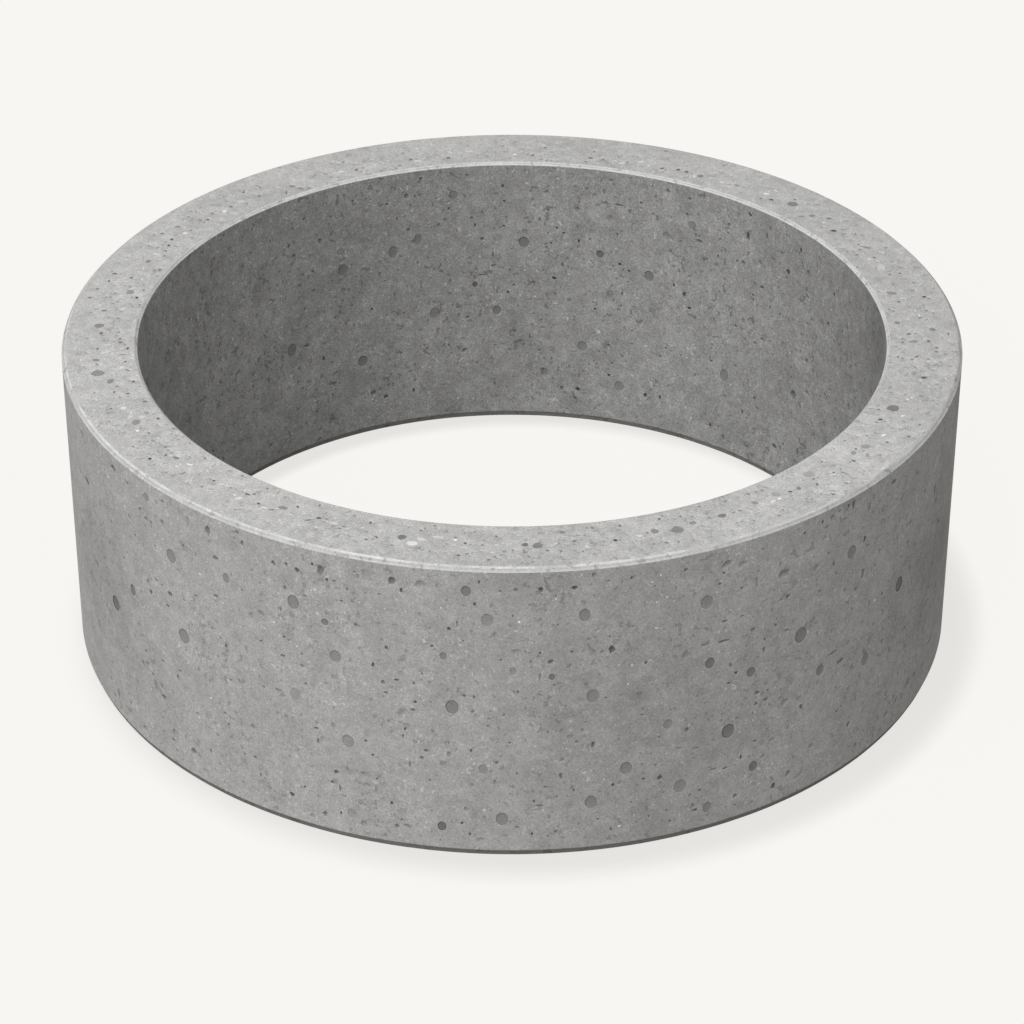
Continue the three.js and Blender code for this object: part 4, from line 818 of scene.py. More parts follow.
scatter = {
    "hiddenVoids": (42, 26),       # big voids where the outer wall and the bore have no listed ones
    "voidRadius": (0.0030, 0.0068),
    "hiddenPits": (330, 190),      # small pits on the same parts
    "hiddenPitTone": (0.6, 1.6),
    "pitRadius": (0.0008, 0.0028),
    "finePits": (120, 90),         # still smaller ones, all round
    "finePitRadius": (0.0005, 0.0012),
    "pitTone": (0.4, 1.25),        # of every other pit
    "topPits": 30,
    "footPits": 60,
    "hiddenFrom": 84.0,            # degrees round from the camera's side, where the view of a wall ends
    "triesEach": 6,                # places tried for each mark before it is given up
}


def drawSmall(draw, low, high, bias=2.2):
    # mostly small ones, and a few large
    return low + (high - low) * draw.random() ** bias


def scatterMarks(sheet, count, draw, makeOne, bearings=(-math.pi, math.pi)):
    placed = 0
    for _ in range(count * scatter["triesEach"]):
        if placed == count:
            break
        u = draw.uniform(*bearings)
        v = draw.uniform(sheet["low"], sheet["high"])
        placed += addMark(sheet, makeOne(u, v))


dish = {"steps": dishSteps, "corners": 22, "ragged": 0.02}
torn = {"steps": pitSteps, "corners": 9, "ragged": 0.34}
chip = {"steps": chipSteps, "corners": 8, "ragged": 0.2}
stone = {"steps": stoneSteps, "corners": 7, "ragged": 0.17}
grain = {"steps": grainSteps, "corners": 7, "ragged": 0.2}
# How the listed marks are cut: their kind, depth as a share of their half width, and factors on size
# and tone. "least" is added to the tone, so that the faintest still show.
cuts = {
    "void": {"kind": dish, "depth": 0.13, "size": 1.0, "tone": 0.82},
    "outerPit": {"kind": torn, "depth": 0.6, "size": 1.06, "tone": 0.85},
    "borePit": {"kind": torn, "depth": 0.6, "size": 1.18, "tone": 1.0},
    "grain": {"kind": grain, "depth": 0.03, "size": 0.78, "tone": 1.55},
    "topStone": {"kind": stone, "depth": 0.03, "size": 1.03, "tone": 0.6, "least": 0.6},
    "topGrain": {"kind": grain, "depth": 0.03, "size": 1.15, "tone": 1.45},
    "topPit": {"kind": chip, "depth": 0.3, "size": 1.16, "tone": 0.95, "least": 0.22},
}


def markRing(settings):
    draw = random.Random(castRing["seed"])

    def outerMark(row, cut):
        return wallMark(outerRadius, False, row, cut)

    def boreMark(row, cut):
        return wallMark(boreRadius, True, row, cut)

    listed = [
        (outerWall, outerMark, outerVoids, "void"), (outerWall, outerMark, outerPits, "outerPit"),
        (outerWall, outerMark, outerGrains, "grain"), (bore, boreMark, boreVoids, "void"),
        (bore, boreMark, borePits, "borePit"), (topEnd, topMark, topStones, "topStone"),
        (topEnd, topMark, topGrains, "topGrain"), (topEnd, topMark, topPits, "topPit"),
    ]
    made = [(sheet, place(row, cuts[cut])) for sheet, place, rows, cut in listed for row in rows]
    # the plainest first, because a mark that doesn't fit beside the others is made smaller or left out
    made.sort(key=lambda pair: -abs(pair[1]["tone"]) * pair[1]["across"] * pair[1]["along"])
    for sheet, mark in made:
        addMark(sheet, mark, castRing["fitShares"])
    leftOut = (f"{sheet['finish']} {sheet['left']}" for sheet in (outerWall, bore, topEnd))
    print("listed marks left out:", ", ".join(leftOut))

    def hiddenVoid(u, v):
        radius = draw.uniform(*settings["voidRadius"])
        tone = draw.uniform(0.55, 1.0)
        return makeMark(u, v, radius, radius * draw.uniform(0.95, 1.15), 0.13 * radius, tone, **dish)

    def tornPit(u, v, sizes="pitRadius", tones="pitTone"):
        size = drawSmall(draw, *settings[sizes])
        long = size * draw.uniform(0.5, 1.0)
        tone = draw.uniform(*settings[tones])
        return makeMark(u, v, size, long, 0.6 * long, tone, turn=draw.uniform(0, math.pi), **torn)

    def hiddenPit(u, v):
        return tornPit(u, v, tones="hiddenPitTone")

    def finePit(u, v):
        return tornPit(u, v, "finePitRadius")

    side = math.radians(settings["hiddenFrom"])
    rear = (side, 2 * math.pi - side)
    front = (-side, side)
    scatterMarks(outerWall, settings["hiddenVoids"][0], draw, hiddenVoid, rear)
    scatterMarks(bore, settings["hiddenVoids"][1], draw, hiddenVoid, front)
    scatterMarks(outerWall, settings["hiddenPits"][0], draw, hiddenPit, rear)
    scatterMarks(bore, settings["hiddenPits"][1], draw, hiddenPit, front)
    scatterMarks(outerWall, settings["finePits"][0], draw, finePit)
    scatterMarks(bore, settings["finePits"][1], draw, finePit)
    scatterMarks(topEnd, settings["topPits"], draw, tornPit)
    scatterMarks(footEnd, settings["footPits"], draw, tornPit)


def castMesh():
    draw = random.Random(castRing["seed"] + 1)
    vertices, tones, faces, finishes = [], [], [], []

    def addShell(shellVertices, shellTones, shellFaces, finish):
        start = len(vertices)
        vertices.extend(shellVertices)
        tones.extend(shellTones)
        faces.extend(tuple(start + k for k in face) for face in shellFaces)
        finishes.extend([finish] * len(shellFaces))

    for sheet in (outerWall, topEnd, bore, footEnd):
        addShell(*triangulate(sheet, draw), sheet["finish"])
    bands = [
        (footOuter, "outerFootBevelPaintedShade"), (rimOuter, "outerChamfer"),
        (rimInner, "innerChamfer"), (footInner, "boreFootBevelPaintedShade"),
    ]
    for salt, (profile, finish) in enumerate(bands):
        bandVertices, quads = bandMesh(profile, salt)
        addShell(bandVertices, [0.0] * len(bandVertices), quads, finish)
    return vertices, tones, faces, finishes


def buildRing(materials):
    vertices, tones, faces, finishes = castMesh()
    names = list(materials)
    mesh = bpy.data.meshes.new("cast_ring")
    mesh.from_pydata(vertices, [], faces)
    for material in materials.values():
        mesh.materials.append(material)
    mesh.polygons.foreach_set("material_index", [names.index(finish) for finish in finishes])
    mesh.attributes.new("markToneAndHollowShade", "FLOAT", "POINT").data.foreach_set("value", tones)
    joined = bmesh.new()
    joined.from_mesh(mesh)
    bmesh.ops.remove_doubles(joined, verts=joined.verts, dist=castRing["weldDistance"])
    bmesh.ops.recalc_face_normals(joined, faces=joined.faces)
    openEdges = sum(len(edge.link_faces) != 2 for edge in joined.edges)
    joined.to_mesh(mesh)
    joined.free()
    mesh.shade_smooth()
    ring = bpy.data.objects.new("cast_ring", mesh)
    bpy.context.scene.collection.objects.link(ring)
    triangles = sum(len(face.vertices) - 2 for face in mesh.polygons)
    print(f"ring cast: {triangles} triangles, {openEdges} open edges")
    return ring


# Concrete finishes. Every pattern is in metres on the ring itself.

def addNode(tree, kind, label="", **settings):
    node = tree.nodes.new(kind)
    node.label = label
    for name, value in settings.items():
        setattr(node, name, value)
    return node


def feed(tree, target, value):
    # a socket takes a link or a plain value
    if isinstance(value, bpy.types.NodeSocket):
        tree.links.new(value, target)
    else:
        target.default_value = value


def mathOf(tree, operation, *values, clamp=False):
    node = addNode(tree, "ShaderNodeMath", operation=operation, use_clamp=clamp)
    for target, value in zip(node.inputs, values):
        feed(tree, target, value)
    return node.outputs[0]


def rampOf(tree, value, fromLow, fromHigh, toLow=0.0, toHigh=1.0, smooth=True):
    node = addNode(tree, "ShaderNodeMapRange", interpolation_type="SMOOTHSTEP" if smooth else "LINEAR")
    for target, number in zip(node.inputs, (value, fromLow, fromHigh, toLow, toHigh)):
        feed(tree, target, number)
    return node.outputs[0]


def noiseOf(tree, vector, scale, detail=2.0, roughness=0.5, distortion=0.0):
    node = addNode(tree, "ShaderNodeTexNoise")
    given = {
        "Vector": vector, "Scale": scale, "Detail": detail,
        "Roughness": roughness, "Distortion": distortion,
    }
    for name, value in given.items():
        feed(tree, node.inputs[name], value)
    return node


def newGroup(name, inputs, outputs):
    tree = bpy.data.node_groups.new(name, "ShaderNodeTree")
    for socket, kind, value in inputs:
        made = tree.interface.new_socket(socket, in_out="INPUT", socket_type=kind)
        if value is not None:
            made.default_value = value
    for socket, kind in outputs:
        tree.interface.new_socket(socket, in_out="OUTPUT", socket_type=kind)
    return tree, tree.nodes.new("NodeGroupInput").outputs, tree.nodes.new("NodeGroupOutput").inputs


def makeShadeNoise():
    # soft or fine change of shade, as a factor round 1, with the same pattern as a height
    number = "NodeSocketFloat"
    tree, given, made = newGroup(
        "shadeNoise",
        [("Vector", "NodeSocketVector", None), ("Scale", number, 100.0), ("Detail", number, 2.0),
         ("Roughness", number, 0.5), ("Distortion", number, 0.0), ("Rise", number, 1.0),
         ("Strength", number, 0.1)],
        [("Shade", number), ("Height", number)],
    )
    stretch = addNode(tree, "ShaderNodeCombineXYZ")
    for target, value in zip(stretch.inputs, (1.0, 1.0, given["Rise"])):
        feed(tree, target, value)
    drawn = addNode(tree, "ShaderNodeVectorMath", operation="MULTIPLY")
    feed(tree, drawn.inputs[0], given["Vector"])
    feed(tree, drawn.inputs[1], stretch.outputs[0])
    inputs = (given[name] for name in ("Scale", "Detail", "Roughness", "Distortion"))
    pattern = noiseOf(tree, drawn.outputs[0], *inputs).outputs["Fac"]
    centred = mathOf(tree, "MULTIPLY", mathOf(tree, "SUBTRACT", pattern, 0.5), 4.0)
    feed(tree, made["Shade"], mathOf(tree, "MULTIPLY_ADD", centred, given["Strength"], 1.0))
    feed(tree, made["Height"], pattern)
    return tree


def makeScatteredSpots():
    # round spots of many sizes in some cells of a pattern, as a mask
    number = "NodeSocketFloat"
    tree, given, made = newGroup(
        "scatteredSpots",
        [("Vector", "NodeSocketVector", None), ("Scale", number, 100.0), ("Radius", number, 0.3),
         ("Share", number, 0.3), ("Softness", number, 0.4), ("Unevenness", number, 0.3)],
        [("Mask", number)],
    )
    cells = addNode(tree, "ShaderNodeTexVoronoi", feature="F1")
    feed(tree, cells.inputs["Vector"], given["Vector"])
    feed(tree, cells.inputs["Scale"], given["Scale"])
    parts = addNode(tree, "ShaderNodeSeparateColor")
    feed(tree, parts.inputs[0], cells.outputs["Color"])
    smallest = 0.3   # spot, as a share of the biggest
    ownSize = mathOf(tree, "MULTIPLY_ADD", parts.outputs[1], 1 - smallest, smallest)
    radius = mathOf(tree, "MULTIPLY", given["Radius"], ownSize)
    inner = mathOf(tree, "MULTIPLY", radius, mathOf(tree, "SUBTRACT", 1.0, given["Softness"]))
    finer = mathOf(tree, "MULTIPLY", given["Scale"], 3.0)
    uneven = mathOf(tree, "SUBTRACT", noiseOf(tree, given["Vector"], finer, 1.0).outputs["Fac"], 0.5)
    distance = mathOf(tree, "MULTIPLY_ADD", uneven, given["Unevenness"], cells.outputs["Distance"])
    spot = rampOf(tree, distance, radius, inner)
    chosen = mathOf(tree, "LESS_THAN", parts.outputs[0], given["Share"])
    feed(tree, made["Mask"], mathOf(tree, "MULTIPLY", spot, chosen))
    return tree


def makeRaggedSpecks():
    # ragged specks as a mask: where a noise pattern rises above a level, which a broad pattern shifts
    number = "NodeSocketFloat"
    tree, given, made = newGroup(
        "raggedSpecks",
        [("Vector", "NodeSocketVector", None), ("Scale", number, 150.0), ("Roughness", number, 0.6),
         ("Level", number, 0.66), ("Softness", number, 0.06), ("Patchiness", number, 0.2)],
        [("Mask", number)],
    )
    pattern = noiseOf(tree, given["Vector"], given["Scale"], 1.0, given["Roughness"]).outputs["Fac"]
    patchScale = 0.13   # of the broad pattern, as a share of the specks' own
    broader = mathOf(tree, "MULTIPLY", given["Scale"], patchScale)
    patches = noiseOf(tree, given["Vector"], broader, 0.0).outputs["Fac"]
    level = mathOf(tree, "MULTIPLY_ADD", patches, given["Patchiness"], given["Level"])
    level = mathOf(tree, "MULTIPLY_ADD", given["Patchiness"], -0.5, level)
    feed(tree, made["Mask"], rampOf(tree, pattern, level, mathOf(tree, "ADD", level, given["Softness"])))
    return tree


def makePatchShades():
    # overlapping patches with wavy borders, each a little darker or paler, as a factor round 1
    number = "NodeSocketFloat"
    tree, given, made = newGroup(
        "patchShades",
        [("Vector", "NodeSocketVector", None), ("Scale", number, 60.0), ("Wave", number, 0.8),
         ("Strength", number, 0.05)],
        [("Shade", number)],
    )
    drawn = addNode(tree, "ShaderNodeVectorMath", operation="SCALE")
    feed(tree, drawn.inputs[0], given["Vector"])
    feed(tree, drawn.inputs["Scale"], given["Scale"])
    wave = noiseOf(tree, drawn.outputs[0], 1.6, 1.0).outputs["Color"]
    bent = addNode(tree, "ShaderNodeVectorMath", operation="SCALE")
    feed(tree, bent.inputs[0], wave)
    feed(tree, bent.inputs["Scale"], given["Wave"])
    moved = addNode(tree, "ShaderNodeVectorMath", operation="ADD")
    feed(tree, moved.inputs[0], drawn.outputs[0])
    feed(tree, moved.inputs[1], bent.outputs[0])
    cells = addNode(tree, "ShaderNodeTexVoronoi", feature="F1")
    feed(tree, cells.inputs["Vector"], moved.outputs[0])
    cells.inputs["Scale"].default_value = 1.0
    parts = addNode(tree, "ShaderNodeSeparateColor")
    feed(tree, parts.inputs[0], cells.outputs["Color"])
    centred = mathOf(tree, "MULTIPLY", mathOf(tree, "SUBTRACT", parts.outputs[0], 0.5), 2.0)
    feed(tree, made["Shade"], mathOf(tree, "MULTIPLY_ADD", centred, given["Strength"], 1.0))
    return tree


def makeBrokenWisps():
    # thin curled lines, broken in places, as a mask
    number = "NodeSocketFloat"
    tree, given, made = newGroup(
        "brokenWisps",
        [("Vector", "NodeSocketVector", None), ("Scale", number, 80.0), ("Curl", number, 1.0),
         ("Width", number, 0.02), ("Level", number, 0.5)],
        [("Mask", number)],
    )
    pattern = noiseOf(tree, given["Vector"], given["Scale"], 1.0, 0.6, given["Curl"]).outputs["Fac"]
    away = mathOf(tree, "ABSOLUTE", mathOf(tree, "SUBTRACT", pattern, 0.5))
    line = rampOf(tree, away, given["Width"], 0.0)
    gapScale = 0.6   # of the pattern that breaks the lines, as a share of their own
    gapSoftness = 0.08
    broader = mathOf(tree, "MULTIPLY", given["Scale"], gapScale)
    patches = noiseOf(tree, given["Vector"], broader, 0.0).outputs["Fac"]
    kept = rampOf(tree, patches, given["Level"], mathOf(tree, "ADD", given["Level"], gapSoftness))
    feed(tree, made["Mask"], mathOf(tree, "MULTIPLY", line, kept))
    return tree


def makePaintedShadingSpot():
    # one broad soft patch round a place, as a factor round 1: painted shade, or painted light where its
    # tone is below 0
    number = "NodeSocketFloat"
    tree, given, made = newGroup(
        "paintedShadingSpot",
        [("Vector", "NodeSocketVector", None), ("Place", "NodeSocketVector", None),
         ("Reach", number, 0.1), ("Tone", number, 0.1)],
        [("Shade", number)],
    )
    away = addNode(tree, "ShaderNodeVectorMath", operation="DISTANCE")
    feed(tree, away.inputs[0], given["Vector"])
    feed(tree, away.inputs[1], given["Place"])
    edgeScale = 25.0   # of its uneven edge, per metre
    uneven = mathOf(tree, "SUBTRACT", noiseOf(tree, given["Vector"], edgeScale, 1.0).outputs["Fac"], 0.5)
    distance = mathOf(tree, "MULTIPLY_ADD", uneven, given["Reach"], away.outputs["Value"])
    shadingMask = rampOf(tree, distance, given["Reach"], 0.0)
    lost = mathOf(tree, "MULTIPLY", shadingMask, given["Tone"])
    feed(tree, made["Shade"], mathOf(tree, "SUBTRACT", 1.0, lost))
    return tree


shadeNoise = makeShadeNoise()
scatteredSpots = makeScatteredSpots()
raggedSpecks = makeRaggedSpecks()
patchShades = makePatchShades()
brokenWisps = makeBrokenWisps()
paintedShadingSpot = makePaintedShadingSpot()


def useGroup(tree, group, label, **values):
    node = addNode(tree, "ShaderNodeGroup", label, node_tree=group)
    for name, value in values.items():
        feed(tree, node.inputs[name], value)
    return node.outputs


# A row gives each pattern's own values and its tone: how much darker it makes the concrete, or, below
# 0, how much paler. A scale is per metre.
# "shades": scale, detail, roughness, distortion, rise (below 1 draws it out up the wall), strength.
# "patches": scale, wave, strength.
# "spots": scale, radius in cells, share of cells, softness, tone.
# "specks": scale, roughness, level, softness, tone.
# "wisps": scale, curl, width, level, tone.
wallPatterns = {
    "shades": {
        "cloud": (7, 2, 0.55, 0.3, 1.0, 0.05),
        "runs": (38, 1, 0.6, 0.0, 0.14, 0.035),
        "mottle": (46, 2, 0.6, 1.2, 0.8, 0.06),
        "curl": (190, 1, 0.7, 1.6, 0.8, 0.075),
        "dust": (1100, 0, 0.5, 0.0, 1.0, 0.10),
        "grain": (560, 1, 0.8, 0.0, 1.0, 0.16),
    },
    "patches": {"plate": (52, 1.2, 0.045), "flake": (130, 1.2, 0.05)},
    "spots": {"blotch": (62, 0.42, 0.22, 0.45, 0.12)},
    "specks": {
        "pit": (150, 0.7, 0.65, 0.05, 0.25),
        "grit": (250, 0.6, 0.69, 0.05, -0.34),
    },
    "wisps": {
        "trail": (70, 1.5, 0.018, 0.46, -0.24),
        "thread": (90, 1.5, 0.015, 0.50, 0.20),
        "scratch": (170, 2.0, 0.026, 0.50, -0.24),
        "hair": (150, 2.0, 0.022, 0.52, 0.24),
    },
}
endPatterns = {
    "shades": {
        "cloud": (11, 2, 0.55, 0.3, 1.0, 0.04),
        "mottle": (60, 2, 0.6, 1.2, 1.0, 0.08),
        "curl": (190, 1, 0.7, 1.6, 1.0, 0.09),
        "grain": (560, 1, 0.8, 0.0, 1.0, 0.19),
    },
    "patches": {"plate": (60, 1.2, 0.04), "flake": (140, 1.2, 0.05)},
    "spots": {
        "stone": (85, 0.42, 0.16, 0.3, 0.10),
        "chip": (95, 0.40, 0.14, 0.4, -0.12),
    },
    "specks": {
        "pit": (140, 0.7, 0.65, 0.05, 0.20),
        "grit": (230, 0.6, 0.68, 0.05, -0.25),
    },
    "wisps": {
        "trail": (80, 1.5, 0.018, 0.46, -0.20),
        "thread": (95, 1.5, 0.015, 0.50, 0.22),
        "scratch": (170, 2.0, 0.026, 0.50, -0.20),
        "hair": (150, 2.0, 0.022, 0.52, 0.26),
    },
}
edgePatterns = {
    "shades": {
        "mottle": (60, 2, 0.6, 0.3, 1.0, 0.08),
        "grain": (560, 1, 0.8, 0.0, 1.0, 0.15),
    },
    "patches": {"flake": (120, 1.2, 0.05)},
    "spots": {},
    "specks": {"pit": (130, 0.7, 0.62, 0.05, 0.25)},
    "wisps": {},
}
# The broad soft areas listed with a finish are painted shade, or painted light where the tone is below 0:
# pixel x and y of the middle, how far it reaches in metres, and tone.
# "lines" run round a chamfer, "below" so many metres under the top end: a pale one is a painted highlight,
# a dark one painted shade between highlights.
finishes = {
    "mouldFace": {
        "color": (0.385, 0.380, 0.372), "roughness": 0.86, "bump": 0.25,
        "contrast": 1.0, "patterns": wallPatterns,
        "paintedShading": [
            (600, 610, 0.17, 0.11),
            (640, 770, 0.18, 0.15),
            (935, 560, 0.13, 0.22),
            (98, 570, 0.12, 0.15),
        ],
    },
    # The bore uses the outer wall's concrete coloured darker, as painted shade inside the ring.
    "boreFace": {
        "color": (0.325, 0.322, 0.316), "roughness": 0.88, "bump": 0.25,
        "contrast": 1.42, "patterns": wallPatterns,
        "paintedShading": [
            (690, 310, 0.25, -0.21),
            (225, 405, 0.18, -0.24),
            (876, 345, 0.12, 0.26),
        ],
    },
    "topEnd": {
        "color": (0.487, 0.483, 0.474), "roughness": 0.9, "bump": 0.3,
        "contrast": 1.05, "patterns": endPatterns,
        "paintedShading": [
            (480, 542, 0.25, 0.07),
            (830, 455, 0.14, -0.14),
            (715, 185, 0.12, -0.10),
            (270, 205, 0.12, 0.07),
        ],
    },
    "outerChamfer": {
        "color": (0.475, 0.472, 0.464), "roughness": 0.8, "bump": 0.2,
        "contrast": 1.0, "patterns": edgePatterns,
        "lines": [
            {"below": 0.0004, "width": 0.0013, "tone": -0.28},
            {"below": 0.0020, "width": 0.0004, "tone": 0.12},
            {"below": 0.0035, "width": 0.0007, "tone": -0.10},
        ],
    },
    # The inner chamfer is paler than the top end, partly as a paste-rich moulded edge and partly as a
    # painted highlight.
    "innerChamfer": {
        "color": (0.64, 0.637, 0.628), "roughness": 0.8, "bump": 0.2,
        "contrast": 1.0, "patterns": edgePatterns,
        "lines": [{"below": 0.0012, "width": 0.0004, "tone": 0.25}],
    },
    # Both foot bevels are coloured dark as painted shade where the ring stands on the floor.
    "outerFootBevelPaintedShade": {
        "color": (0.21, 0.208, 0.203), "roughness": 0.9, "bump": 0.2,
        "contrast": 1.0, "patterns": edgePatterns,
    },
    "boreFootBevelPaintedShade": {
        "color": (0.28, 0.278, 0.272), "roughness": 0.9, "bump": 0.2,
        "contrast": 1.0, "patterns": edgePatterns,
    },
    "footEnd": {
        "color": (0.40, 0.396, 0.388), "roughness": 0.92, "bump": 0.3,
        "contrast": 1.0, "patterns": endPatterns,
    },
}
# The face on which the pixel place of each patch of painted shading is seen.
paintedShadingFace = {
    "mouldFace": lambda x, y: hitWall(x, y, outerRadius, False),
    "boreFace": lambda x, y: hitWall(x, y, boreRadius, True),
    "topEnd": hitTop,
}
# One side of the ring is painted a little paler than the other: painted light, as if it fell off across the
# ring.
paintedSideLight = {"place": (16.1, 10.15, 0.0), "scale": 1.3, "strength": 0.075}
# How much a mark of tone 1 darkens the concrete, what is left of the patterns inside it, and the darkest
# that patterns and marks can make the concrete together, as a share of its colour.
darkening = {"mark": 0.42, "grainInMark": 0.35, "floor": 0.08}
# The same for every finish. The relief is the height of the finest pattern, in metres.
surface = {"specular": 0.25, "relief": 0.0008}


# Where a chamfer's lines are broken: the pattern's scale per metre, and the levels between which they fade.
lineBreaks = {"scale": 25.0, "gone": 0.35, "whole": 0.55}


def paintedChamferLine(tree, place, line):
    # a thin line round the chamfer, so many metres below the top end, broken here and there: a painted
    # highlight where its tone is below 0, painted shade where it is above
    parts = addNode(tree, "ShaderNodeSeparateXYZ")
    feed(tree, parts.inputs[0], place)
    fromLine = mathOf(tree, "SUBTRACT", parts.outputs[2], ringHeight - line["below"])
    away = mathOf(tree, "ABSOLUTE", fromLine)
    near = rampOf(tree, away, line["width"], line["width"] * 0.4)
    pattern = noiseOf(tree, place, lineBreaks["scale"], 1.0).outputs["Fac"]
    kept = rampOf(tree, pattern, lineBreaks["gone"], lineBreaks["whole"])
    return mathOf(tree, "MULTIPLY", near, kept)


def makeFinish(name, settings):
    material = bpy.data.materials.new(name)
    material.use_nodes = True
    tree = material.node_tree
    shader = tree.nodes["Principled BSDF"]
    place = addNode(tree, "ShaderNodeTexCoord").outputs["Object"]
    patterns, contrast = settings["patterns"], settings["contrast"]
    # a broad pattern makes one side of the ring paler and the other darker: painted light and shade
    moved = addNode(tree, "ShaderNodeVectorMath", operation="ADD")
    feed(tree, moved.inputs[0], place)
    moved.inputs[1].default_value = paintedSideLight["place"]
    broad = useGroup(
        tree, shadeNoise, "paintedSideLight", Vector=moved.outputs[0], Scale=paintedSideLight["scale"], Detail=0.0,
        Strength=paintedSideLight["strength"],
    )
    factors, heights = [broad["Shade"]], []

    def darken(mask, tone):
        factors.append(mathOf(tree, "MULTIPLY_ADD", mask, -tone * contrast, 1.0))

    for label, (scale, detail, roughness, distortion, rise, strength) in patterns["shades"].items():
        made = useGroup(
            tree, shadeNoise, label, Vector=place, Scale=scale, Detail=detail,
            Roughness=roughness, Distortion=distortion, Rise=rise, Strength=strength * contrast,
        )
        factors.append(made["Shade"])
        heights.append(made["Height"])
    for label, (scale, wave, strength) in patterns["patches"].items():
        made = useGroup(
            tree, patchShades, label, Vector=place, Scale=scale, Wave=wave, Strength=strength * contrast,
        )
        factors.append(made["Shade"])
    for label, (scale, radius, share, softness, tone) in patterns["spots"].items():
        made = useGroup(
            tree, scatteredSpots, label, Vector=place, Scale=scale, Radius=radius,
            Share=share, Softness=softness,
        )
        darken(made["Mask"], tone)
    for label, (scale, roughness, level, softness, tone) in patterns["specks"].items():
        made = useGroup(
            tree, raggedSpecks, label, Vector=place, Scale=scale, Roughness=roughness,
            Level=level, Softness=softness,
        )
        darken(made["Mask"], tone)
    for label, (scale, curl, width, level, tone) in patterns["wisps"].items():
        made = useGroup(
            tree, brokenWisps, label, Vector=place, Scale=scale, Curl=curl, Width=width, Level=level,
        )
        darken(made["Mask"], tone)
    for line in settings.get("lines", []):
        darken(paintedChamferLine(tree, place, line), line["tone"])
    # broad patches of painted shade, and of painted light where the tone is below 0
    for x, y, reach, tone in settings.get("paintedShading", []):
        middle = paintedShadingFace[name](x, y)
        made = useGroup(tree, paintedShadingSpot, "shadingSpot", Vector=place, Place=middle, Reach=reach, Tone=tone)
        factors.append(made["Shade"])
    patterned = factors[0]
    for factor in factors[1:]:
        patterned = mathOf(tree, "MULTIPLY", patterned, factor)

    # the marks' tones: painted shade in the hollows of voids, pits and chips, and the own tone of stones
    # and grains
    mark = addNode(tree, "ShaderNodeAttribute", attribute_name="markToneAndHollowShade").outputs["Fac"]
    marked = mathOf(tree, "ABSOLUTE", mark, clamp=True)
    # a mark is smoother than what surrounds it
    calm = addNode(tree, "ShaderNodeMix", data_type="FLOAT")
    feed(tree, calm.inputs[0], mathOf(tree, "MULTIPLY", marked, 1 - darkening["grainInMark"]))
    feed(tree, calm.inputs[2], patterned)
    calm.inputs[3].default_value = 1.0
    toned = mathOf(tree, "MULTIPLY_ADD", mark, -darkening["mark"], 1.0)
    level = mathOf(tree, "MULTIPLY", calm.outputs[0], toned)
    level = mathOf(tree, "MAXIMUM", level, darkening["floor"])

    tint = addNode(tree, "ShaderNodeVectorMath", operation="SCALE")
    tint.inputs[0].default_value = settings["color"]
    feed(tree, tint.inputs["Scale"], level)
    feed(tree, shader.inputs["Base Color"], tint.outputs[0])
    shader.inputs["Roughness"].default_value = settings["roughness"]
    shader.inputs["Specular IOR Level"].default_value = surface["specular"]

    relief = addNode(tree, "ShaderNodeBump")
    relief.inputs["Strength"].default_value = settings["bump"]
    relief.inputs["Distance"].default_value = surface["relief"]
    feed(tree, relief.inputs["Height"], heights[-1])
    feed(tree, shader.inputs["Normal"], relief.outputs[0])
    return material


materials = {name: makeFinish(name, settings) for name, settings in finishes.items()}
print("finishes mixed:", ", ".join(materials))
markRing(scatter)
markCounts = (f"{sheet['finish']} {len(sheet['marks'])}" for sheet in (outerWall, bore, topEnd, footEnd))
print("marks:", ", ".join(markCounts))
ring = buildRing(materials)
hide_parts("concrete_ring")
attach(ring, "root")


# Floor and light.

studio = {
    "pale": (0.939, 0.922, 0.890),   # what the camera sees of the floor and behind it
    "floorBounce": 0.35,             # how much of the light the floor gives back to the ring
    "shadowShare": 0.03,             # how much of the floor's look a cast shadow can take away
    "contactShare": 0.156,           # how much the shade close to the foot takes away
    "contactReach": 0.052,           # metres
    "innerReach": 0.032,             # the same on the floor inside the ring
    "contactLean": (-0.57, 0.38, 0.75),   # the shade is weaker where the ring isn't on this side
    "contactRamp": (0.08, 0.44),     # blocked share at which the shade starts, and at which it is full
    "floorHalf": 20.0,
    "worldLevel": 0.40,
    "keyLevel": 0.73,
    "keyBearing": -32.0,             # degrees, from the camera's side towards -X
    "keyElevation": 50.0,
    "keySize": 50.0,                 # degrees across
}


def seenRay(tree):
    # 1 for what the camera sees, directly or in gloss or glass
    path = addNode(tree, "ShaderNodeLightPath").outputs
    seen = mathOf(tree, "MAXIMUM", path["Is Camera Ray"], path["Is Glossy Ray"])
    return mathOf(tree, "MAXIMUM", seen, path["Is Transmission Ray"])


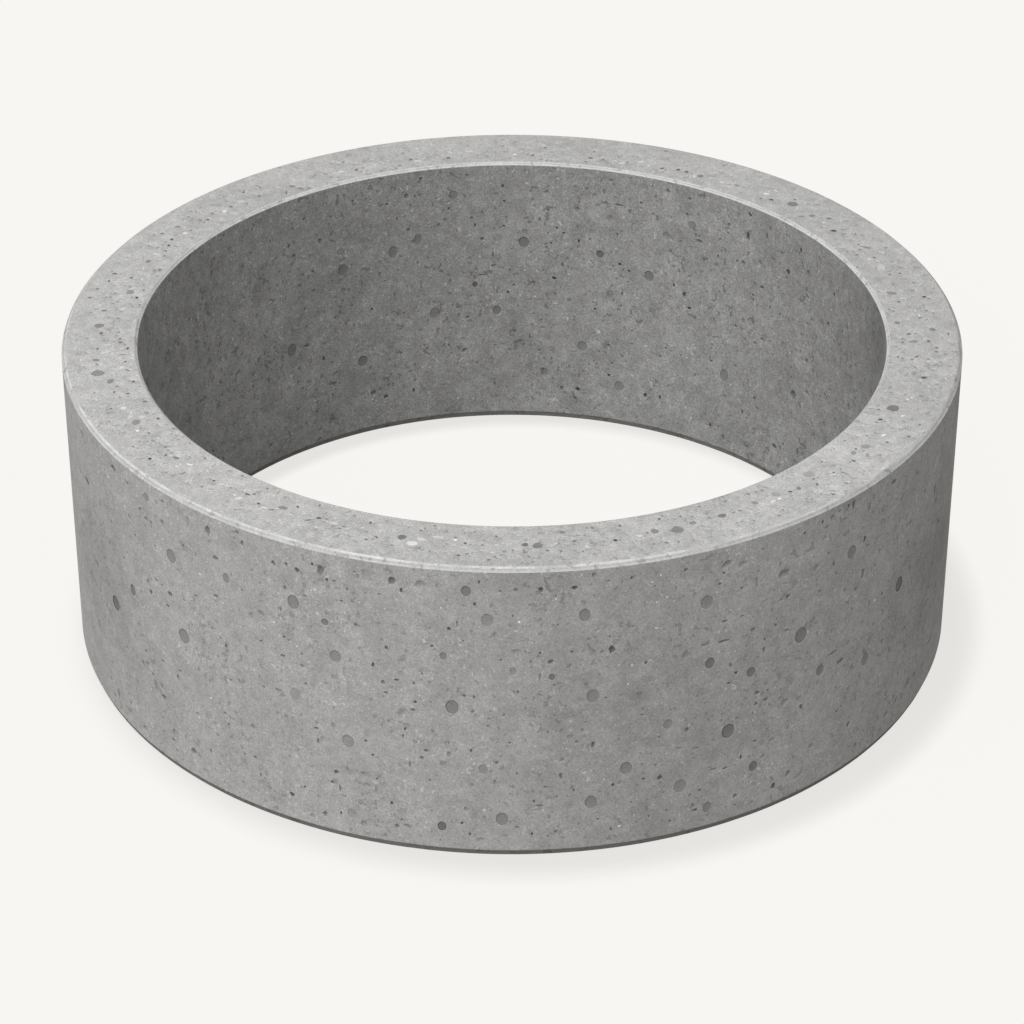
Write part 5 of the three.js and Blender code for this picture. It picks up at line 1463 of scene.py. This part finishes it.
def makeFloor(settings):
    half = settings["floorHalf"]
    mesh = bpy.data.meshes.new("studioFloor")
    square = [(-half, -half, 0), (half, -half, 0), (half, half, 0), (-half, half, 0)]
    mesh.from_pydata(square, [], [(0, 1, 2, 3)])
    floor = bpy.data.objects.new("studioFloor", mesh)
    bpy.context.scene.collection.objects.link(floor)
    material = bpy.data.materials.new("paleFloor")
    material.use_nodes = True
    tree = material.node_tree
    tree.nodes.remove(tree.nodes["Principled BSDF"])
    pale = settings["pale"]
    share = settings["shadowShare"]
    glow = addNode(tree, "ShaderNodeEmission")
    glow.inputs["Color"].default_value = (*pale, 1)
    near = addNode(tree, "ShaderNodeAmbientOcclusion", samples=16)
    fromAxis = addNode(tree, "ShaderNodeVectorMath", operation="LENGTH")
    feed(tree, fromAxis.inputs[0], addNode(tree, "ShaderNodeTexCoord").outputs["Object"])
    inside = mathOf(tree, "LESS_THAN", fromAxis.outputs["Value"], boreRadius)
    less = settings["innerReach"] - settings["contactReach"]
    reach = mathOf(tree, "MULTIPLY_ADD", inside, less, settings["contactReach"])
    feed(tree, near.inputs["Distance"], reach)
    lean = addNode(tree, "ShaderNodeVectorMath", operation="NORMALIZE")
    lean.inputs[0].default_value = settings["contactLean"]
    feed(tree, near.inputs["Normal"], lean.outputs[0])
    blocked = mathOf(tree, "SUBTRACT", 1.0, near.outputs["AO"])
    shade = rampOf(tree, blocked, *settings["contactRamp"], smooth=False)
    dim = mathOf(tree, "MULTIPLY", shade, settings["contactShare"])
    feed(tree, glow.inputs["Strength"], mathOf(tree, "SUBTRACT", 1.0 - share, dim))
    lit = addNode(tree, "ShaderNodeBsdfDiffuse")
    lit.inputs["Color"].default_value = (*(share * channel for channel in pale), 1)
    shown = addNode(tree, "ShaderNodeAddShader")
    feed(tree, shown.inputs[0], glow.outputs[0])
    feed(tree, shown.inputs[1], lit.outputs[0])
    bounce = addNode(tree, "ShaderNodeBsdfDiffuse")
    bounce.inputs["Color"].default_value = (settings["floorBounce"],) * 3 + (1,)
    look = addNode(tree, "ShaderNodeMixShader")
    feed(tree, look.inputs[0], seenRay(tree))
    feed(tree, look.inputs[1], bounce.outputs[0])
    feed(tree, look.inputs[2], shown.outputs[0])
    feed(tree, tree.nodes["Material Output"].inputs["Surface"], look.outputs[0])
    mesh.materials.append(material)


def makeWorld(settings):
    world = bpy.data.worlds.new("studioAir")
    bpy.context.scene.world = world
    world.use_nodes = True
    tree = world.node_tree
    air = tree.nodes["Background"]
    air.inputs["Color"].default_value = (1, 1, 1, 1)
    air.inputs["Strength"].default_value = settings["worldLevel"]
    behind = addNode(tree, "ShaderNodeBackground")
    behind.inputs["Color"].default_value = (*settings["pale"], 1)
    look = addNode(tree, "ShaderNodeMixShader")
    feed(tree, look.inputs[0], seenRay(tree))
    feed(tree, look.inputs[1], air.outputs[0])
    feed(tree, look.inputs[2], behind.outputs[0])
    feed(tree, tree.nodes["World Output"].inputs["Surface"], look.outputs[0])


def makeKeyLight(settings):
    data = bpy.data.lights.new("softKey", "SUN")
    data.energy = settings["keyLevel"] * math.pi
    data.angle = math.radians(settings["keySize"])
    lamp = bpy.data.objects.new("softKey", data)
    bpy.context.scene.collection.objects.link(lamp)
    rise = math.radians(settings["keyElevation"])
    towards = polar(math.radians(settings["keyBearing"]), math.cos(rise), math.sin(rise))
    lamp.rotation_euler = towards.to_track_quat("Z", "Y").to_euler()


makeFloor(studio)
makeWorld(studio)
makeKeyLight(studio)
bpy.context.scene.view_settings.view_transform = "Standard"
print("floor, world and key light set")
